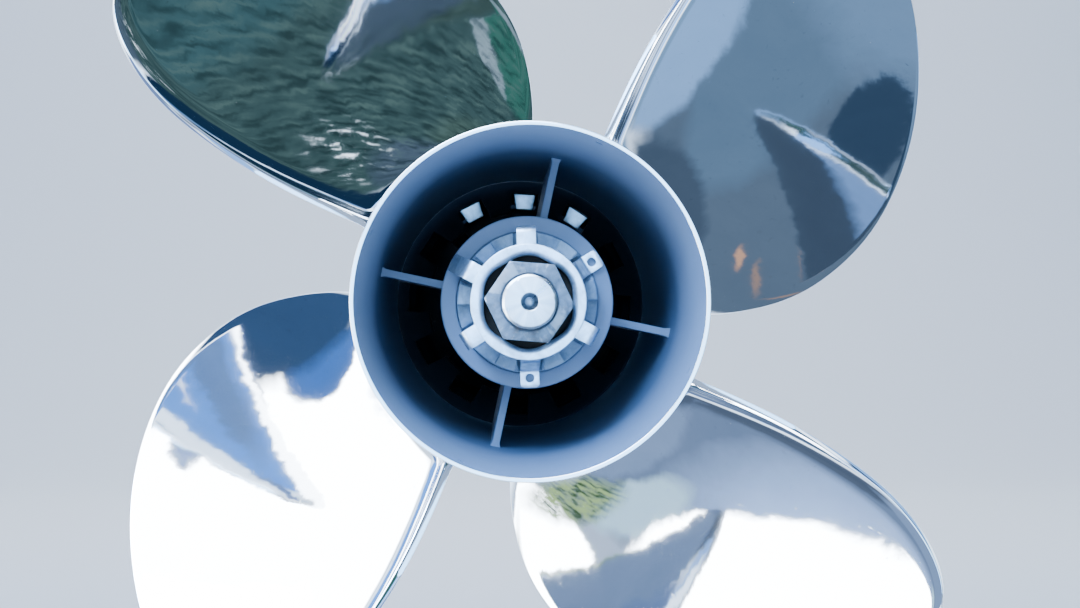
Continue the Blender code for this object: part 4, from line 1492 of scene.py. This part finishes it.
# Locknut
# A hexagon nut of plated steel, 27 mm across its flats, that holds the propeller on the shaft. Its corners
# are chamfered, its bore is countersunk, and its plating has gone dull.
NUT_ACROSS_FLATS = 0.027
NUT_CORNER = NUT_ACROSS_FLATS / 2 / cos(pi / 6)
NUT_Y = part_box("locknut")[0].y
NUT_THICKNESS = 0.0170
NUT_CHAMFER = 0.0006
NUT_CHAMFER_WIDTH = 0.0009
NUT_EASING = 0.00025
NUT_ANGLE = radians(55.5)
NUT_COUNTERSINK = 0.00060
THREAD_CLEARANCE = 0.00018
NUT_CUTTER_REACH = 0.005
PLATING_PALE = (0.170, 0.225, 0.300)
PLATING_DARK = (0.075, 0.105, 0.145)
RUST_BROWN = (0.16, 0.085, 0.04)
WORN_STEEL = (0.42, 0.44, 0.47)


def nut_outline(angle):
    """The nut at an angle, round outside, with its countersunk thread inside."""
    far = NUT_Y + NUT_THICKNESS
    countersink = THREAD_RADIUS + THREAD_CLEARANCE + NUT_COUNTERSINK
    corners = [
        (countersink, NUT_Y),
        (NUT_CORNER - NUT_CHAMFER_WIDTH, NUT_Y, 0.0006),
        (NUT_CORNER + 0.0003, NUT_Y + NUT_CHAMFER, 0.0002),
        (NUT_CORNER + 0.0003, far - NUT_CHAMFER / 2, 0.0002),
        (NUT_CORNER - NUT_CHAMFER, far, 0.0006),
        (countersink, far),
    ]
    points = rounded(corners, steps=3, closed=False)
    for y in thread_rows(far, NUT_Y, THREAD_PITCH):
        cut = THREAD_RADIUS + THREAD_CLEARANCE - thread_depth(y, angle)
        from_end = min(y - NUT_Y, far - y)
        points.append((max(cut, countersink - from_end * 1.1), y))
    return points


def dull_steel():
    """Old plating gone mottled grey, lighter on the edges, with traces of rust where water stays."""
    made, tree, place = new_material("dull steel", 0.7, 0.5)
    skin = use(tree, grain, Vector=place, Size=0.0005)
    mottled = stain(tree, place, 0.0035, 0.5, 0.5)
    rust = stain(tree, place, 0.0060, 0.16, 0.25)
    worn = use(tree, edge_wear, Vector=place, Size=0.002, Reach=7.0)["Mask"]
    plain = blend(tree, mottled, PLATING_PALE, PLATING_DARK)
    rusted = blend(tree, rust * 0.55, plain, RUST_BROWN)
    return surfaced(
        made,
        skin["Height"] * 0.7 + mottled * 0.3,
        0.00006,
        Base_Color=blend(tree, worn * 0.5, rusted, WORN_STEEL),
        Metallic=0.7 - rust * 0.5,
        Roughness=(mottled * 0.15 + rust * 0.2 - worn * 0.1 + 0.50).at_least(0.3),
    )


nut_steel = dull_steel()
nut = turned("chamfered_locknut", nut_outline, steps=144)
hexagon_ends = ((0, NUT_Y - NUT_CUTTER_REACH, 0), (0, NUT_Y + NUT_THICKNESS + NUT_CUTTER_REACH, 0))
hexagon = rod("nut_hexagon", NUT_CORNER, *hexagon_ends, segments=6)
corner_now = max(hexagon.data.vertices, key=lambda vertex: vertex.co.x).co
turned_to(hexagon, NUT_ANGLE - atan2(corner_now.z, corner_now.x))
combined(nut, [hexagon], "INTERSECT")
finished(nut, nut_steel, "rotor", "locknut", NUT_EASING, sharpest=28)


# Studio
# A pale floor that curves up into a backdrop, soft lamps, and a sky for the polished steel to mirror: white
# light at the left and above it, dark leaves at the right, blue-grey below, and blue light straight aft.
FLOOR_Z = -0.30
BACKDROP_Y = 3.2
BACKDROP_HEIGHT = 4.0
SWEEP_RADIUS = 0.9
SWEEP_STEPS = 12
FLOOR_HALF_WIDTH = 6.0
FLOOR_FRONT = -6.0
PAPER_GREY = (0.60, 0.62, 0.64)
PAPER_PALE = (0.66, 0.675, 0.69)
PLAIN_SKY = (0.60, 0.62, 0.65)
SOFT_SKY_ABOVE = (0.24, 0.46, 0.82)
SOFT_SKY_BELOW = (0.045, 0.060, 0.080)
AFT_SKY = (0.80, 1.05, 1.45)
FORWARD_SKY = (3.4, 4.2, 5.2)
WHITE = (22.0, 24.0, 26.0)
# Each patch of the mirrored sky has its middle's angles, about the shaft line and from straight aft, its
# half widths in both, all in degrees, how sharp its edge is, and its colour.
SKY_PATCHES = (
    ((0, 0), (720, 22), 8, (3.20, 6.00, 9.50)),
    ((168, 34), (22, 11), 4, (3.00, 5.50, 8.50)),
    ((2, 78), (50, 46), 8, (0.066, 0.138, 0.150)),
    ((17, 54), (34, 15), 4, (0.070, 0.170, 0.200)),
    ((-23, 84), (12, 22), 8, (0.056, 0.225, 0.190)),
    ((-12.5, 80), (1.7, 12), 6, (0.42, 0.60, 0.74)),
    ((48, 101), (8.5, 20), 8, (0.011, 0.039, 0.095)),
    ((6, 108), (14, 15), 4, (0.085, 0.160, 0.150)),
    ((26, 109), (15, 17), 4, (0.110, 0.170, 0.250)),
    ((-80, 76), (40, 34), 8, (0.145, 0.222, 0.340)),
    ((-68, 70), (15, 26), 4, (0.165, 0.288, 0.471)),
    ((-44, 62), (16.5, 36), 10, (0.400, 0.750, 1.380)),
    ((-40, 96), (6, 12), 2, (0.290, 0.550, 0.940)),
    ((-74, 54), (22, 10), 2, (0.235, 0.420, 0.720)),
    ((-89, 62.5), (6.8, 5.4), 12, (0.041, 0.084, 0.160)),
    ((-95.5, 86.4), (4.2, 1.1), 2, (0.95, 0.56, 0.40)),
    ((-103, 82.5), (5, 1.0), 2, (0.50, 0.36, 0.32)),
    ((-68, 113), (29, 24), 8, (0.088, 0.140, 0.225)),
    ((-36, 125), (20, 10), 6, (0.090, 0.145, 0.235)),
    ((-27, 110), (17, 3.5), 4, (0.75, 1.70, 3.60)),
    ((-150, 84), (32, 26), 8, (0.250, 0.380, 0.660)),
    ((-129, 92), (9, 26), 3, (0.135, 0.190, 0.300)),
    ((-132, 102), (12, 9), 2, (0.120, 0.170, 0.275)),
    ((-154, 66), (20, 24), 1.3, (0.78, 1.20, 2.10)),
    ((-170, 84), (14, 7), 3, (0.90, 1.45, 1.90)),
    ((-157, 106), (27, 16), 8, (0.340, 0.520, 0.900)),
    ((-170, 58), (19, 22), 14, WHITE),
    ((165, 82), (9, 14), 8, WHITE),
    ((110, 73), (36, 40), 8, WHITE),
    ((87, 91), (9.5, 10), 10, (0.085, 0.300, 1.000)),
    ((71, 86), (17, 26), 4, (0.052, 0.125, 0.290)),
    ((57.5, 98), (4, 7), 3, (1.60, 2.80, 5.00)),
    ((85, 65), (3, 2), 8, (0.25, 0.55, 1.30)),
    ((114, 117), (37, 19), 8, (0.260, 0.820, 2.300)),
    ((110, 112), (17, 9), 3, (0.300, 0.580, 1.250)),
    ((-135, 132), (38, 20), 4, (0.260, 0.420, 0.850)),
    ((-117, 106), (7, 16), 4, (0.500, 1.050, 2.200)),
    ((149, 107), (7, 9), 3, (0.200, 0.420, 1.100)),
    ((45, 134), (40, 22), 4, (0.450, 0.950, 1.900)),
    ((-38, 134), (30, 24), 4, (0.350, 0.650, 1.300)),
)
# What is broken up by leaves is placed in the same way.
WOODS = ((10, 77), (42, 36), 4.0)
BUSHES = ((176, 90), (17, 6.5), 2.5)
GLINTS = ((31, 90), (10, 10), 2.0)
FOLIAGE_DARK = (0.016, 0.042, 0.050)
FOLIAGE_LIGHT = (0.150, 0.265, 0.255)
BUSH_DARK = (0.055, 0.13, 0.05)
BUSH_LIGHT = (0.62, 0.95, 0.42)
GLINT = (3.0, 3.6, 4.2)
MIDDLE = (0, -0.2, 0)
CAMERA_PLACE = (-0.0206, -0.9081, -0.0038)
CAMERA_TURN = radians(2.02)
CAMERA_TILT = radians(0.255)


def backdrop():
    """The floor and the wall behind it, as one sheet with a quarter round between them."""
    sweep_y = BACKDROP_Y - SWEEP_RADIUS
    angles = [pi / 2 * i / SWEEP_STEPS for i in range(1, SWEEP_STEPS + 1)]
    profile = [(FLOOR_FRONT, FLOOR_Z), (sweep_y, FLOOR_Z)]
    profile += [(sweep_y + SWEEP_RADIUS * sin(a), FLOOR_Z + SWEEP_RADIUS * (1 - cos(a))) for a in angles]
    profile.append((BACKDROP_Y, FLOOR_Z + BACKDROP_HEIGHT))
    count = len(profile)
    points = [(side, y, z) for side in (-FLOOR_HALF_WIDTH, FLOOR_HALF_WIDTH) for y, z in profile]
    mesh = bpy.data.meshes.new("backdrop")
    mesh.from_pydata(points, [], [(i, count + i, count + i + 1, i + 1) for i in range(count - 1)])
    mesh.shade_smooth()
    return placed("backdrop", mesh)


def backdrop_paper():
    made, tree, place = new_material("backdrop paper", 0.0, 0.85)
    tone = blend(tree, noise(tree, place, 0.7, 2.0), PAPER_GREY, PAPER_PALE)
    feed(tree, tree.nodes["Principled BSDF"], Base_Color=tone)
    return made


floor = backdrop()
floor.data.materials.append(backdrop_paper())
floor.visible_glossy = False


def sky():
    """Patches of light and dark by direction for the steel to mirror, and a plain sky for the rest."""
    world = bpy.data.worlds.new("studio sky")
    world.use_nodes = True
    world.cycles.sampling_method = "NONE"
    tree = world.node_tree
    direction = add_node(tree, "ShaderNodeTexCoord").outputs["Generated"]
    x, y, z = coordinates(tree, direction)
    about = z.math("ARCTAN2", x) * (360 / TURN)
    from_aft = (y * -1.0).math("ARCCOSINE") * (360 / TURN)
    branches = vector_of(tree, X=(about + from_aft) * 0.62, Y=(from_aft - about) * 0.13)
    leaves = noise(tree, branches, 1.0, 4.0, Roughness=0.6)
    ragged = noise(tree, direction, 7.0, 5.0) - 0.5
    about = about + ragged * 4.5
    from_aft = from_aft + ragged * 3.5

    def nearness(middle, half_widths, sharpness):
        side = (about - middle[0]).math("WRAP", 180.0, -180.0) / half_widths[0]
        up = (from_aft - middle[1]) / half_widths[1]
        return ((1.0 - distance(side, up)) * sharpness).as_share()

    colour = blend(tree, ((from_aft - 96.0) / 8.0).as_share(), AFT_SKY, FORWARD_SKY)
    for *place, tint in SKY_PATCHES:
        colour = blend(tree, nearness(*place), colour, tint)
    woods = nearness(*WOODS)
    colour = blend(tree, woods * ((0.50 - leaves) * 9.0).as_share() * 0.75, colour, FOLIAGE_DARK)
    colour = blend(tree, woods * ((leaves - 0.53) * 9.0).as_share() * 0.7, colour, FOLIAGE_LIGHT)
    bushes = nearness(*BUSHES)
    colour = blend(tree, bushes * ((leaves - 0.44) * 12.0).as_share(), colour, BUSH_LIGHT)
    colour = blend(tree, bushes * ((0.52 - leaves) * 12.0).as_share(), colour, BUSH_DARK)
    colour = blend(tree, nearness(*GLINTS) * ((leaves - 0.60) * 30.0).as_share(), colour, GLINT)

    path = add_node(tree, "ShaderNodeLightPath").outputs
    soft_sky = blend(tree, (z * 0.5 + 0.5).as_share(), SOFT_SKY_BELOW, SOFT_SKY_ABOVE)
    soft = blend(tree, path["Is Diffuse Ray"], colour, soft_sky)
    feed(tree, tree.nodes["Background"], Color=blend(tree, path["Is Camera Ray"], soft, PLAIN_SKY))
    bpy.context.scene.world = world


def aimed(item, place, heading):
    """Sets a lamp or a camera at a place, looking along its heading."""
    item.location = place
    item.rotation_euler = heading.to_track_quat("-Z", "Y").to_euler()


def lamp(name, place, aim, size, watts, colour):
    light = bpy.data.lights.new(name, "AREA")
    light.size = size
    light.energy = watts
    light.color = colour
    aimed(placed(name, light), place, Vector(aim) - Vector(place))


sky()
lamp("key lamp", (-0.80, -1.60, 1.60), MIDDLE, 0.9, 62, (0.44, 0.95, 1.95))
lamp("front lamp", (-0.2, -2.2, 0.80), MIDDLE, 0.7, 9, (0.60, 0.95, 1.50))
lamp("backdrop lamp", (0, 1.4, 1.9), (0, 3.0, 0.2), 2.0, 75, (1.0, 0.98, 0.95))

camera = bpy.data.cameras.new("camera")
camera.lens = 66.67
camera.sensor_width = 36
camera.clip_start = 0.01
viewer = placed("camera", camera)
aimed(viewer, CAMERA_PLACE, Vector((sin(CAMERA_TURN), cos(CAMERA_TURN), tan(CAMERA_TILT))))
bpy.context.scene.camera = viewer
